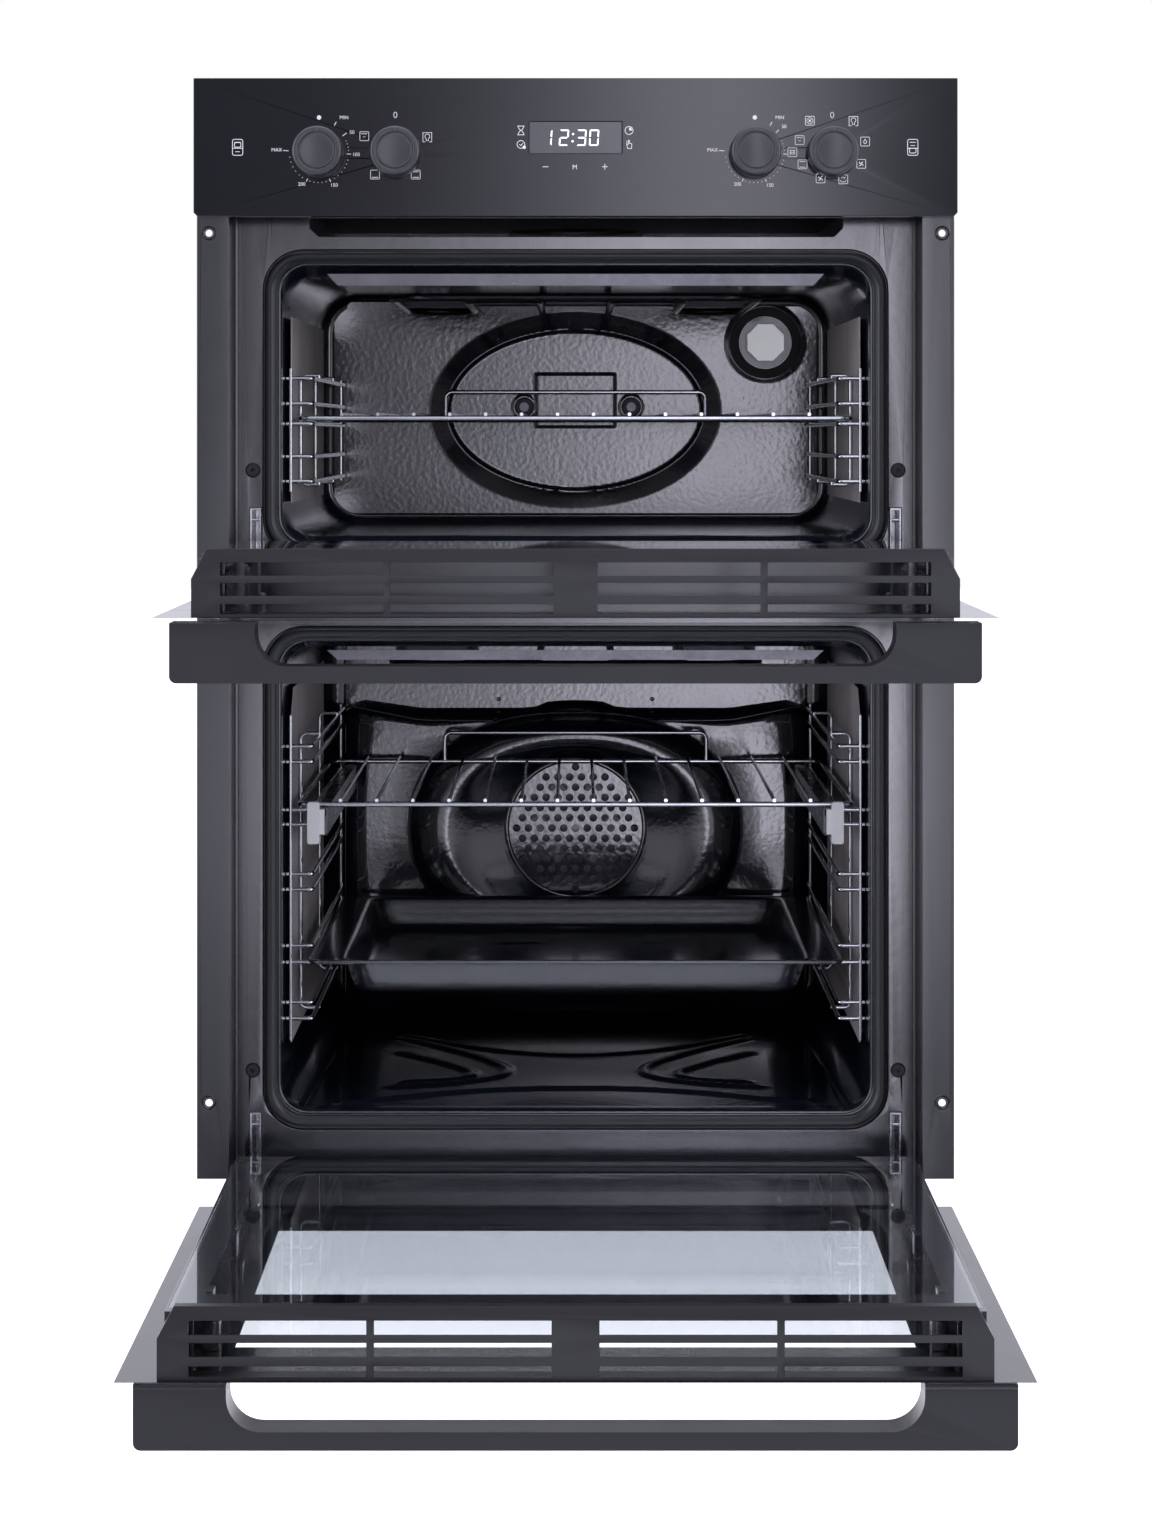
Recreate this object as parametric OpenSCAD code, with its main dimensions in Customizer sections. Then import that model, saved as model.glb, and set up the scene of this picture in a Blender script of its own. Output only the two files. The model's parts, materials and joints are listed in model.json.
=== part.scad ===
/* [Front] */
// Width of the door glasses and the control fascia
front_w = 594; // [592:0.5:596]
// Thickness of the outer door glass
glass_t = 4; // [3:0.5:4]
// Height of the control fascia
fascia_h = 107.6; // [100:0.4:107.6]
// Radius of the cabinet fixing holes
fixing_r = 2.75; // [2.25:0.25:3.5]

/* [Casing] */
// Depth of the casing behind the front plane
case_d = 514; // [505:1:540]
// Sheet thickness of the outer casing
sheet_t = 1; // [0.8:0.1:1.2]
// Height of the pressed runners under the base
runner_h = 8; // [5:1:8]
// Vent slots on each side of the rear panel
rear_slots = 9; // [3:1:11]

/* [Doors] */
// Width of each handle
handle_w = 570; // [540:2:576]
// Projection of the handles from the glass
handle_p = 42.5; // [38:0.5:46]
// Width of the finger opening in each handle
grip_w = 450; // [400:10:470]
// Bar thickness of the handles
grip_t = 12; // [9:0.5:14]

/* [Knobs] */
// Radius of the knobs
knob_r = 19.6; // [17:0.2:21]
// Depth of the knobs
knob_d = 23.4; // [18:0.4:26]
// Radius of the ring on the knob face
knob_ring_r = 13.8; // [11:0.2:15]

/* [Shelves] */
// Rods in each wire shelf
rod_count = 14; // [9:1:16]
// Radius of the shelf rods
rod_r = 1.4; // [1.2:0.1:1.8]
// Radius of the side rack wires
rack_r = 1.8; // [1.5:0.05:1.9]
// Depth of the baking tray
tray_h = 29; // [22:1:34]

/* [Fan] */
// Pitch of the perforations in the fan cover
perf_pitch = 10.8; // [9.2:0.4:14]
// Radius of the perforations in the fan cover
perf_r = 3.5; // [2:0.25:3.75]
// Blades on the convection fan
fan_blades = 12; // [8:1:16]
// Blades on the cooling fan rotor
rotor_blades = 20; // [12:2:28]

/* [View] */
// Which sub-part to draw

/* [Hidden] */
$fn = 48;

// the shared frame starts at the centre of the four cabinet fixing holes
flange_y = -44;
fix_x = 286;
fix_z = [89.5, 768];
origin_z = (fix_z[0] + fix_z[1]) / 2;
front_y = -54;

fascia_z = 888 - fascia_h;
hw = front_w / 2;

// hinge lines: distance behind the glass face and above its lower edge
hinge_back = 18;
hinge_up = 14.5;
back_edge = front_y + hinge_back + hinge_up;
door_l = [474.5, 289];
hinge_z = [17.5, 497];
inner_w = 49;

// openings, lower then upper: bottom and top of the opening, then of the seal outline
open_z = [[74, 447], [524.7, 745]];
seal_z = [[59.3, 458.8], [512, 757.6]];
open_x = 234;
seal_x = 248;
cav_z = [[74, 441], [530, 737]];

knob_x = [-199.3, -139.3, 139.3, 199.3];
knob_z = 829.7;

upper_levels = [656, 635.7, 619.4, 593, 573];
lower_levels = [360, 347.5, 308.8, 297, 257, 244.5, 199.3, 186, 153.7, 140.7];
fan_z = 250;
wire_x = 212;
// back walls of the cavities, lower then upper
back_y = [425, 400];

module place() translate([0, -flange_y, -origin_z]) children();

// a box given by its limits
module bx(x0, x1, y0, y1, z0, z1) translate([x0, y0, z0]) cube([x1 - x0, y1 - y0, z1 - z0]);

// the same on both sides
module both() {
  children();
  mirror([1, 0, 0]) children();
}

// a plate from a drawing in x and z, between two depths
module plate(y0, y1) translate([0, y1, 0]) rotate([90, 0, 0]) linear_extrude(y1 - y0) children();

// a plate from a drawing in y and z, between two widths
module plate_x(x0, x1) translate([x0, 0, 0]) rotate([90, 0, 90]) linear_extrude(x1 - x0) children();

// a rounded rectangle about the middle line, between two heights
module rr(hx, z0, z1, r) {
  translate([-hx + r, z0]) square([2 * (hx - r), z1 - z0]);
  translate([-hx, z0 + r]) square([2 * hx, z1 - z0 - 2 * r]);
  for (x = [-hx + r, hx - r], z = [z0 + r, z1 - r]) translate([x, z]) circle(r);
}

// round bars along each axis
module bar_x(x0, x1, y, z, r) translate([x0, y, z]) rotate([0, 90, 0]) cylinder(r = r, h = x1 - x0);
module bar_y(x, y0, y1, z, r) translate([x, y0, z]) rotate([-90, 0, 0]) cylinder(r = r, h = y1 - y0);
module bar_z(x, y, z0, z1, r) translate([x, y, z0]) cylinder(r = r, h = z1 - z0);
// a quarter bend lying flat, from angle a
module bend(x, y, z, r, wire, a, sweep = 90) translate([x, y, z]) rotate([0, 0, a])
  rotate_extrude(angle = sweep) translate([r, 0]) circle(wire);

// a body in a door's own measure: across, up the door, and in from the glass face
module on_door(d) translate([0, back_edge, hinge_z[d] - hinge_back]) children();
module db(x0, x1, v0, v1, w0, w1) bx(x0, x1, -v1, -v0, w0, w1);

// ---------------------------------------------------------------- casing

module side_trim(s) {
  color([0.09, 0.09, 0.1]) place() mirror([s < 0 ? 1 : 0, 0, 0]) difference() {
    union() {
      bx(270.5, 295.5, flange_y, flange_y + 1.5, 30, 885);
      bx(270.5, 272, flange_y, 4.6, 30, 885);
      bx(294, 295.5, flange_y, -32, 30, 885);
      bx(262, 272, 3.1, 4.6, 30, 885);
      bx(270.5, 295.5, flange_y, -38, 30, 31.5);
    }
    // room for the lower edge of the upper glass
    bx(269, 297, -46, -19.5, hinge_z[1] - 26, hinge_z[1] - 10);
    for (z = fix_z) bar_y(fix_x, -46, -41, z, fixing_r);
    for (z = fix_z) difference() {
      bar_y(fix_x, -45, flange_y + 0.5, z, 5.6);
      bar_y(fix_x, -46, flange_y + 1, z, 4.6);
    }
    // mounting keyholes in the web
    for (z = [150, 400, 620, 820]) bar_x(269, 274, -20, z, 2.2);
  }
}

module side_trim_left() side_trim(-1);
module side_trim_right() side_trim(1);

module front_frame() {
  color([0.1, 0.1, 0.11]) place() difference() {
    plate(0, 3) difference() {
      translate([-268, 8]) square([536, 874]);
      for (d = [0, 1]) rr(open_x, open_z[d][0], open_z[d][1], 22);
      for (m = [-1, 1], d = [0, 1]) translate([m * 254 - 4.7, hinge_z[d] - 14.3])
        square([9.4, 70]);
      // outlet for the cooling air
      polygon([[-204, 768], [-211, 775], [-211, 782.5], [212, 782.5], [212, 775], [205, 768]]);
      for (x = knob_x) translate([x, knob_z]) circle(7);
      translate([-40, 822]) square([80, 38]);
      for (m = [-1, 1], z = [106.4, 582.6]) translate([m * 256, z]) circle(3);
      for (m = [-1, 1], z = [800, 868]) translate([m * 240, z]) circle(2);
    }
    for (d = [0, 1]) plate(-1, 1.4) rr(seal_x, seal_z[d][0], seal_z[d][1], 32);
  }
}

module cavity(d) {
  z0 = cav_z[d][0];
  z1 = cav_z[d][1];
  o0 = open_z[d][0] - 0.1;
  o1 = open_z[d][1] + 0.1;
  yb = back_y[d];
  difference() {
    union() {
      plate(3.1, 14.5) rr(open_x + 2.1, o0 - 2, o1 + 2, 24);
      intersection() {
        plate(12, yb + 1.7) rr(235.7, z0 - 1.5, z1 + 1.5, 24);
        translate([0, 0, z0 - 2]) linear_extrude(z1 - z0 + 4)
          polygon([[-235.8, 3], [-231.5, yb + 3], [231.5, yb + 3], [235.8, 3]]);
      }
    }
    plate(3, 13) rr(open_x, o0, o1, 22);
    intersection() {
      plate(12.5, yb) rr(234.1, z0, z1, 22);
      translate([0, 0, z0 - 1]) linear_extrude(z1 - z0 + 2)
        polygon([[-234.2, 2], [-230, yb + 1], [230, yb + 1], [234.2, 2]]);
    }
    children();
  }
}

function oval(a, b, n = 60) = [for (i = [0:n - 1]) [a * cos(360 * i / n), b * sin(360 * i / n)]];

module upper_cavity() {
  color([0.1, 0.11, 0.13]) place() {
    cavity(1) {
      // seats of the lamp, its screws and the grill element
      bar_y(174, 399, 404, 695, 27);
      for (x = [-47, 51]) bar_y(x, 399, 404, 636, 2.1);
      for (x = [-30, 30]) bar_y(x, 399, 404, 722, 4);
      both() for (z = [560, 700]) bar_x(225, 236, 205, z, 2.5);
    }
    // pressed oval and the blanking plate on the back wall
    plate(399.2, 400.3) translate([0, 633]) difference() {
      polygon(oval(132, 89));
      polygon(oval(125, 80));
      for (x = [-30, 30]) translate([x, 89]) circle(4);
    }
    plate(399.2, 400.3) translate([-38, 617]) difference() {
      square([76, 50]);
      translate([1.6, 1.6]) square([72.8, 46.8]);
    }
  }
}

module lower_cavity() {
  color([0.1, 0.11, 0.13]) place() cavity(0) {
    bar_y(0, 420, 430, fan_z, 21);
    for (m = [-1, 1]) bar_y(m * 71, 420, 430, 366, 4);
    for (x = [-30, 30]) bar_y(x, 420, 430, 425, 4);
    for (x = [-12, 12]) bar_y(x, 420, 430, fan_z - 85, 4);
    both() for (z = [120, 400]) bar_x(225, 236, 205, z, 2.5);
  }
}

module seal(d) {
  z0 = seal_z[d][0] + 0.7;
  z1 = seal_z[d][1] - 0.7;
  color([0.06, 0.06, 0.07]) place() {
    difference() {
      plate(0.2, 1.3) rr(seal_x - 0.8, z0, z1, 31);
      plate(0, 3.5) rr(open_x + 0.2, open_z[d][0] - 0.2, open_z[d][1] + 0.2, 22);
    }
    difference() {
      plate(-4.5, 1.3) rr(seal_x - 2.5, z0 + 1.7, z1 - 1.7, 29);
      plate(-5, 3.5) rr(open_x + 2.5, open_z[d][0] - 2.2, open_z[d][1] + 2.2, 24);
    }
  }
}

module upper_seal() seal(1);
module lower_seal() seal(0);

module side_panel(s) {
  color([0.62, 0.63, 0.64]) place() mirror([s < 0 ? 1 : 0, 0, 0]) difference() {
    union() {
      bx(278 - sheet_t, 278, 4.8, case_d, 8, 880);
      bx(262, 278, 4.8, 4.8 + sheet_t, 8, 879);
      bx(264, 278, case_d - 2.6 - sheet_t, case_d - 2.6, 12, 876);
    }
    // stiffening and cooling slots
    for (i = [0:9]) translate([270, 60 + i * 18, 820]) cube([12, 10, 36]);
    for (i = [0:5]) translate([270, 420 + i * 13, 60]) cube([12, 7, 50]);
    for (z = [60, 300, 540, 820]) bar_y(271, case_d - 6, case_d + 1, z, 1.6);
  }
}

module side_panel_left() side_panel(-1);
module side_panel_right() side_panel(1);

module top_cover() {
  color([0.62, 0.63, 0.64]) place() difference() {
    bx(-276.6, 276.6, 4.8, case_d - 3, 880.2 - sheet_t, 880.2);
    bx(-276.6 + 30, 276.6 - 30, 300, 306, 870, 890);
    for (i = [0:13]) bx(-208 + i * 32, -186 + i * 32, 360, 366, 870, 890);
    for (i = [0:13]) bx(-208 + i * 32, -186 + i * 32, 376, 382, 870, 890);
    for (m = [-1, 1], y = [20, 480]) bar_z(m * 265, y, 870, 890, 1.6);
  }
}

module rear_panel() {
  color([0.6, 0.61, 0.62]) place() difference() {
    union() {
      bx(-276.9, 276.9, case_d - 2.5, case_d - 2.5 + sheet_t, 12, 878);
      // pressed cover over the fan motor
      plate(case_d - 2.5, case_d + 8) rr(78, fan_z - 78, fan_z + 78, 20);
    }
    plate(case_d - 6, case_d + 6.8) rr(76.8, fan_z - 76.8, fan_z + 76.8, 18.8);
    for (m = [0, 1], i = [0:rear_slots - 1]) mirror([m, 0, 0])
      bx(40, 240, case_d - 4, case_d + 1, 560 + i * 14, 565 + i * 14);
    for (m = [0, 1], i = [0:rear_slots - 1]) mirror([m, 0, 0])
      bx(110, 240, case_d - 4, case_d + 1, 190 + i * 14, 195 + i * 14);
    bx(150, 236, case_d - 4, case_d + 1, 786, 846);
    for (m = [-1, 1], z = [60, 300, 540, 820]) bar_y(m * 271, case_d - 6, case_d + 1, z, 1.6);
  }
}

module base_pan() {
  color([0.6, 0.61, 0.62]) place() difference() {
    union() {
      bx(-276.6, 276.6, 6.2, case_d - 3.9, runner_h, runner_h + 1.2);
      bx(-276.6, -275.4, 6.2, case_d - 3.9, runner_h, 30);
      bx(275.4, 276.6, 6.2, case_d - 3.9, runner_h, 30);
      for (m = [-1, 1]) plate(25, case_d - 20) translate([m * 218, 0])
        polygon([[-18, runner_h + 0.6], [-10, 0], [10, 0], [18, runner_h + 0.6]]);
    }
    for (m = [-1, 1]) plate(27, case_d - 22) translate([m * 218, 0])
      polygon([[-17, runner_h + 2], [-9, 1.2], [9, 1.2], [17, runner_h + 2]]);
    for (m = [-1, 1], i = [0:7]) bx(m * 90 - 60, m * 90 + 60, 60 + i * 22, 66 + i * 22, -1, 12);
    for (x = [-150, 150], y = [300, 470]) bar_z(x, y, -1, 12, 2);
    // room for the lower hinge receivers
    both() bx(241, 267, 5, 31, -1, 14);
  }
}

module insulation() {
  color([0.78, 0.76, 0.66]) place() {
    for (d = [0, 1]) difference() {
      z0 = d == 0 ? 40 : 498;
      z1 = d == 0 ? 472 : 765;
      bx(-259, 259, 42, d == 0 ? 446 : 425, z0, z1);
      bx(-236.2, 236.2, 41, back_y[d] + 2.2, cav_z[d][0] - 2.5, cav_z[d][1] + 2.5);
      bx(-36, 36, 400, 450, cav_z[d][1] - 25, cav_z[d][1] - 2);
      bx(-24, 24, 400, 450, fan_z - 95, fan_z - 75);
      bar_y(0, 400, 450, fan_z, 60);
      bar_y(174, 400, 450, 695, 36);
      for (m = [-1, 1]) bx(m * 49 - 6, m * 49 + 6, 400, 450, 628, 645);
    }
  }
}

module screw_back(x, z) {
  bar_y(x, case_d - 5, case_d - 1.4, z, 1.5);
  difference() {
    bar_y(x, case_d - 1.4, case_d + 1.2, z, 3.6);
    bx(x - 2.4, x + 2.4, case_d + 0.2, case_d + 2, z - 0.4, z + 0.4);
    bx(x - 0.4, x + 0.4, case_d + 0.2, case_d + 2, z - 2.4, z + 2.4);
  }
}

module case_screws() {
  color([0.7, 0.7, 0.7]) place() {
    for (m = [-1, 1], z = [60, 300, 540, 820]) screw_back(m * 271, z);
    for (m = [-1, 1], y = [20, 480]) {
      bar_z(m * 265, y, 877, 880.3, 1.5);
      bar_z(m * 265, y, 880.3, 882.5, 3.6);
    }
    // the two screws on the upper back wall
    for (x = [-47, 51]) {
      bar_y(x, 398.6, 406, 636, 2);
      difference() {
        bar_y(x, 395.6, 399.8, 636, 7.8);
        bx(x - 5, x + 5, 394, 396.8, 635.3, 636.7);
        bx(x - 0.7, x + 0.7, 394, 396.8, 631, 641);
      }
    }
  }
}

// ---------------------------------------------------------------- controls

module control_fascia() {
  color([0.05, 0.05, 0.06]) place() difference() {
    plate(front_y, -45) polygon([[-hw + 3, fascia_z], [-hw, fascia_z + 3], [-hw, 888],
      [hw, 888], [hw, fascia_z + 3], [hw - 3, fascia_z]]);
    bx(-hw + 2, hw - 2, front_y + 4, -44, fascia_z + 2, 886);
    for (x = knob_x) bar_y(x, front_y - 1, -44, knob_z, 4);
    bx(-36, 36, front_y - 1, -44, 829.3, 854);
  }
}

module display_window() {
  color([0.25, 0.26, 0.27]) place() {
    bx(-35.9, 35.9, front_y + 0.2, front_y + 2.2, 829.4, 853.9);
    bx(-33, 33, front_y + 2.2, front_y + 7, 831, 852);
  }
}

module control_board() {
  color([0.1, 0.25, 0.16]) place() {
    bx(-78, 78, -44.6, -43, 796, 872);
    bx(-30, 30, -43, -36, 828, 856);
    for (x = [-60, -44]) bar_y(x, -43, -33, 812, 5);
    bx(36, 62, -43, -31, 804, 822);
    bx(-66, -50, -43, -27, 842, 862);
    for (x = [-24, 0, 24]) bx(x - 3, x + 3, -46.8, -44.6, 812, 818);
    for (x = [-72, 72], z = [801, 867]) bar_y(x, -43, -0.2, z, 2.4);
  }
}

module knob_switches() {
  color([0.75, 0.73, 0.68]) place() for (i = [0:3]) difference() {
    union() {
      bx(knob_x[i] - 17, knob_x[i] + 17, 3.2, 34, knob_z - 17, knob_z + 17);
      bar_y(knob_x[i], -18, 3.4, knob_z, 6.4);
      for (z = [-12, 0, 12]) bx(knob_x[i] - 11, knob_x[i] - 4, 34, 42, knob_z + z - 0.5, knob_z + z + 0.5);
      for (z = [-12, 0, 12]) bx(knob_x[i] + 4, knob_x[i] + 11, 34, 42, knob_z + z - 0.5, knob_z + z + 0.5);
    }
    bar_y(knob_x[i], -19, 12, knob_z, 3.08);
  }
}

module knob(x) {
  back = front_y - 0.6;
  color([0.08, 0.08, 0.09]) place() {
    difference() {
      union() {
        bar_y(x, back - knob_d + 1.6, back, knob_z, knob_r);
        translate([x, back - knob_d + 1.6, knob_z]) rotate([90, 0, 0])
          cylinder(r1 = knob_r, r2 = knob_r - 1.6, h = 1.6);
      }
      // ring and pointer on the face
      difference() {
        bar_y(x, back - knob_d - 1, back - knob_d + 0.8, knob_z, knob_ring_r + 0.7);
        bar_y(x, back - knob_d - 2, back - knob_d + 2, knob_z, knob_ring_r);
      }
      bx(x - 0.8, x + 0.8, back - knob_d - 1, back - knob_d + 0.6, knob_z + 5, knob_z + knob_ring_r - 1);
      // hollow skirt behind
      difference() {
        bar_y(x, back - knob_d + 6, back + 1, knob_z, knob_r - 2.2);
        bar_y(x, back - knob_d, back + 2, knob_z, 6);
      }
    }
    bar_y(x, back - 8, 10, knob_z, 3);
  }
}

module thermostat_knob_upper() knob(knob_x[0]);
module function_knob_upper() knob(knob_x[1]);
module thermostat_knob_lower() knob(knob_x[2]);
module function_knob_lower() knob(knob_x[3]);

// ---------------------------------------------------------------- hinges

module hinge_receivers() {
  color([0.75, 0.76, 0.77]) place() both() for (z = hinge_z) {
    difference() {
      bx(249.6, 258.4, -1.6, 30, z - 14, z + 55.4);
      bx(251.2, 256.8, -3, 28.6, z - 12.4, z + 53.8);
    }
    bar_x(250, 258, 0.8, z + 46, 1.3);
    bar_x(250, 258, 22, z + 9.6, 2);
    bx(258.4, 266, 6.2, 7.8, z - 14, z + 55.4);
    bx(242, 249.6, 3.2, 4.8, z + 38, z + 55.4);
  }
}

module hinge_claws() {
  color([0.7, 0.71, 0.72]) place() both() for (z = hinge_z) difference() {
    union() {
      bar_x(252, 256, -36, z, 6);
      bx(252, 256, -36, 26, z - 6, z + 6);
    }
    bar_x(251, 257, -36, z, 3.06);
    // notch that hooks on the receiver's pin
    bx(251, 257, 19.7, 24.3, z + 3, z + 7);
    bx(251, 257, 6, 14, z - 7, z - 3.5);
  }
}

module hinges(d) {
  color([0.7, 0.71, 0.72]) place() on_door(d) both() {
    difference() {
      db(249.4, 258.6, 7, d == 0 ? 190 : 150, 6.4, 30);
      db(250.9, 257.1, 6, d == 0 ? 189 : 149, 7.9, 31);
      db(249, 259, 6, 8.5, 24, 31);
    }
    // pivot pin, spring and its rod
    bar_x(250, 258, -hinge_up, hinge_back, 3);
    bar_y(254, -(d == 0 ? 189.5 : 149.5), -60, 17, 2);
    bar_y(254, -(d == 0 ? 170 : 130), -78, 17, 2.9);
    bx(250.2, 257.8, -64, -60, 13, 21);
  }
}

module upper_hinges() hinges(1);
module lower_hinges() hinges(0);

module frame_buffers() {
  color([0.16, 0.16, 0.17]) place() both() for (z = [106.4, 582.6]) difference() {
    union() {
      translate([256, -0.2, z]) rotate([90, 0, 0]) cylinder(r1 = 6, r2 = 4.8, h = 2);
      bar_y(256, -0.4, 5, z, 2.9);
    }
    bar_y(256, -3, 1, z, 1.6);
  }
}

// ---------------------------------------------------------------- doors

module outer_glass(d) {
  color([0.03, 0.03, 0.04]) place() on_door(d) difference() {
    db(-hw, hw, 0, door_l[d], 0, glass_t);
    for (m = [-1, 1]) translate([m * 255, -door_l[d] + 23.5, -1]) cylinder(r = 3.2, h = 6);
  }
}

module inner_glass(d) {
  color([0.2, 0.22, 0.24]) place() on_door(d)
    db(-262, 262, 26, door_l[d] - 13, inner_w - 4, inner_w);
}

module rails(d) {
  l = door_l[d];
  color([0.12, 0.12, 0.13]) place() on_door(d) {
    both() difference() {
      db(247, 266, 5, l - 19.6, glass_t + 0.2, inner_w - 4.2);
      db(240, 264.5, 6.5, l - 21, glass_t + 1.7, inner_w - 5.7);
      db(240, 264.5, 0, 28, glass_t + 1.7, inner_w);
      for (v = [200, l - 60]) bar_x(263, 267, -v, 24, 3);
    }
    // lower edge strip and its glass stops
    difference() {
      db(-246.8, 246.8, 5, 23, glass_t + 0.2, inner_w - 14);
      db(-250, 250, 6.5, 21.5, glass_t + 1.7, inner_w + 1);
    }
    both() for (v = d == 0 ? [90, 240, 390] : [80, 200])
      db(236, 246.8, v, v + 14, glass_t + 0.2, d == 0 ? 23.7 : 12);
    if (d == 0) both() for (v = [90, 240, 390]) db(240, 246.8, v, v + 14, 28.3, inner_w - 4.2);
    if (d == 1) both() for (v = [80, 200]) db(240, 246.8, v, v + 14, 12, inner_w - 4.2);
  }
}

slot_x = [[-248.7, -134.4], [-129.5, -15.4], [15.4, 129.5], [134.4, 248.7]];
slot_w = [[6.4, 13.3], [19.1, 28.3], [33.2, 42.6]];

module cap_shape(g) polygon([[-269 + g, glass_t + 0.2 + g], [-269 + g, 31], [-258 + g * 0.6, 52 - g],
  [258 - g * 0.6, 52 - g], [269 - g, 31], [269 - g, glass_t + 0.2 + g]]);

module cap(d) {
  l = door_l[d];
  color([0.13, 0.13, 0.14]) place() on_door(d) difference() {
    translate([0, -l + 19, 0]) rotate([90, 0, 0]) linear_extrude(14) cap_shape(0);
    translate([0, -l + 20, 0]) rotate([90, 0, 0]) linear_extrude(13) cap_shape(2);
    // seat of the inner glass
    db(-270, 270, l - 20, l - 12.6, inner_w - 4.3, 60);
    for (x = slot_x, w = slot_w) db(x[0], x[1], l - 8, l, w[0], w[1]);
  }
}

module handle(d) {
  l = door_l[d];
  r = 22;
  color([0.05, 0.05, 0.06]) place() on_door(d) difference() {
    translate([0, -l + 37, 0]) rotate([90, 0, 0]) linear_extrude(27) difference() {
      union() {
        translate([-handle_w / 2, -handle_p + 5]) square([handle_w, handle_p - 5.1]);
        translate([-handle_w / 2 + 5, -handle_p]) square([handle_w - 10, 6]);
        for (m = [-1, 1]) translate([m * (handle_w / 2 - 5), -handle_p + 5]) circle(5);
      }
      translate([-grip_w / 2, -handle_p + grip_t + r]) square([grip_w, handle_p]);
      translate([-grip_w / 2 + r, -handle_p + grip_t]) square([grip_w - 2 * r, handle_p]);
      for (m = [-1, 1]) translate([m * (grip_w / 2 - r), -handle_p + grip_t + r]) circle(r);
    }
    for (m = [-1, 1]) translate([m * 255, -l + 23.5, -14]) cylinder(r = 2, h = 20);
  }
}

module upper_outer_glass() outer_glass(1);
module lower_outer_glass() outer_glass(0);
module upper_inner_glass() inner_glass(1);
module lower_inner_glass() inner_glass(0);
module lower_middle_glass() {
  color([0.5, 0.55, 0.55]) place() on_door(0) db(-246, 246, 34, door_l[0] - 24, 24, 28);
}
module upper_rails() rails(1);
module lower_rails() rails(0);
module upper_cap() cap(1);
module lower_cap() cap(0);
module upper_handle() handle(1);
module lower_handle() handle(0);

// ---------------------------------------------------------------- cavity fittings

// one side rack: at each level a wire that turns out to the wall at the front, held by looped uprights
module rack(levels, z0, z1, y_loops, f0, f1) {
  for (z = levels) {
    bar_x(-233, -wire_x - 3, 38, z, rack_r);
    bend(-wire_x - 3, 41, z, 3, rack_r, -90);
    bar_y(-wire_x, 41, 390, z, rack_r);
  }
  for (y = y_loops) {
    bar_z(-227.3, y, z0 + 5, z1 - 5, 1.7);
    for (e = [0, 1]) {
      translate([-222.3, y, e == 0 ? z0 + 5 : z1 - 5]) rotate([90, 0, 0]) rotate([0, 0, e == 0 ? 180 : 90])
        rotate_extrude(angle = 90) translate([5, 0]) circle(1.7);
      bar_x(-222.3, -wire_x, y, e == 0 ? z0 : z1, 1.7);
    }
    bar_z(-wire_x, y, z0 - 0.2, min(levels), 1.55);
    bar_z(-wire_x, y, max(levels), z1 + 0.2, 1.55);
  }
  bar_z(-229.3, 35.4, f0, f1, 1.3);
  bar_z(-wire_x - 2.6, 389.5, min(levels) - 4, max(levels) + 4, 1.6);
}

module upper_racks() color([0.75, 0.76, 0.78]) place() both()
  rack(upper_levels, 569.6, 659.4, [105, 257], 565, 664);

module lower_racks() color([0.75, 0.76, 0.78]) place() both()
  rack(lower_levels, 137.1, 363.6, [108, 305], 124, 385);

module catalytic_liners() color([0.42, 0.38, 0.36]) place() both() {
  plate_x(-230.1, -229.3) polygon([[46, 556], [46, 706], [379, 706], [379, 556]]);
  plate_x(-230.1, -229.3) polygon([[46, 120], [46, 385], [66, 405], [379, 405], [379, 120]]);
}

// grill element as a looped tube near the ceiling, with its front strip
module upper_grill() color([0.5, 0.5, 0.5]) place() grill_set(727, 729.5, 739.7, 198, 414);
module lower_grill() color([0.5, 0.5, 0.5]) place() grill_set(430, 431.5, 440, 198, 438);

module grill_set(zc, z0, z1, hx, y_end) {
  r = 3.2;
  // tube: two long loops joined across the front, tails out through the back wall
  for (m = [-1, 1]) {
    bar_y(m * 30, 120, y_end, zc - 5, r);
    bend(m * 60, 120, zc - 5, 30, r, 180, 180);
    bar_y(m * 90, 120, 330, zc - 5, r);
    bend(m * 120, 330, zc - 5, 30, r, 0, 180);
    bar_y(m * 150, 90, 330, zc - 5, r);
  }
  bend(-110, 90, zc - 5, 40, r, 180, 90);
  bend(110, 90, zc - 5, 40, r, 270, 90);
  bar_x(-110, 110, 50, zc - 5, r);
  // hangers
  for (m = [-1, 1]) bx(m * 120 - 36, m * 120 + 36, 239, 241, zc - 8.2 + 2, zc - 1.8 + 2);
  // bright strip in front
  plate(9, 10.2) polygon([[-hx + 8.5, z0], [hx - 8.5, z0], [hx, z1 - 0.8], [-hx, z1 - 0.8]]);
}

// the cover's top edge, from the left corner to the middle
cover_top = [[-211, 357.5], [-206, 361.4], [-132, 346.7], [-94, 346.7], [-78, 354], [-46, 355.5], [-36, 361], [0, 364]];
cover_y = 402;

// the pressed dome in steps from the rim inwards: half width, half height, and how far it stands out
dome = [[152.4, 105.4, 5], [143, 98, 10], [134, 92, 14], [126, 86, 17.4]];
module dome_step(a, b, c, e, y0, y1) {
  plate(y0, y1) difference() {
    polygon(oval(a, b, 40));
    polygon(oval(a - 1.2, b - 1.2, 40));
  }
  plate(y0, y0 + 1.2) difference() {
    polygon(oval(a, b, 40));
    polygon(oval(c, e, 40));
  }
}

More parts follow.
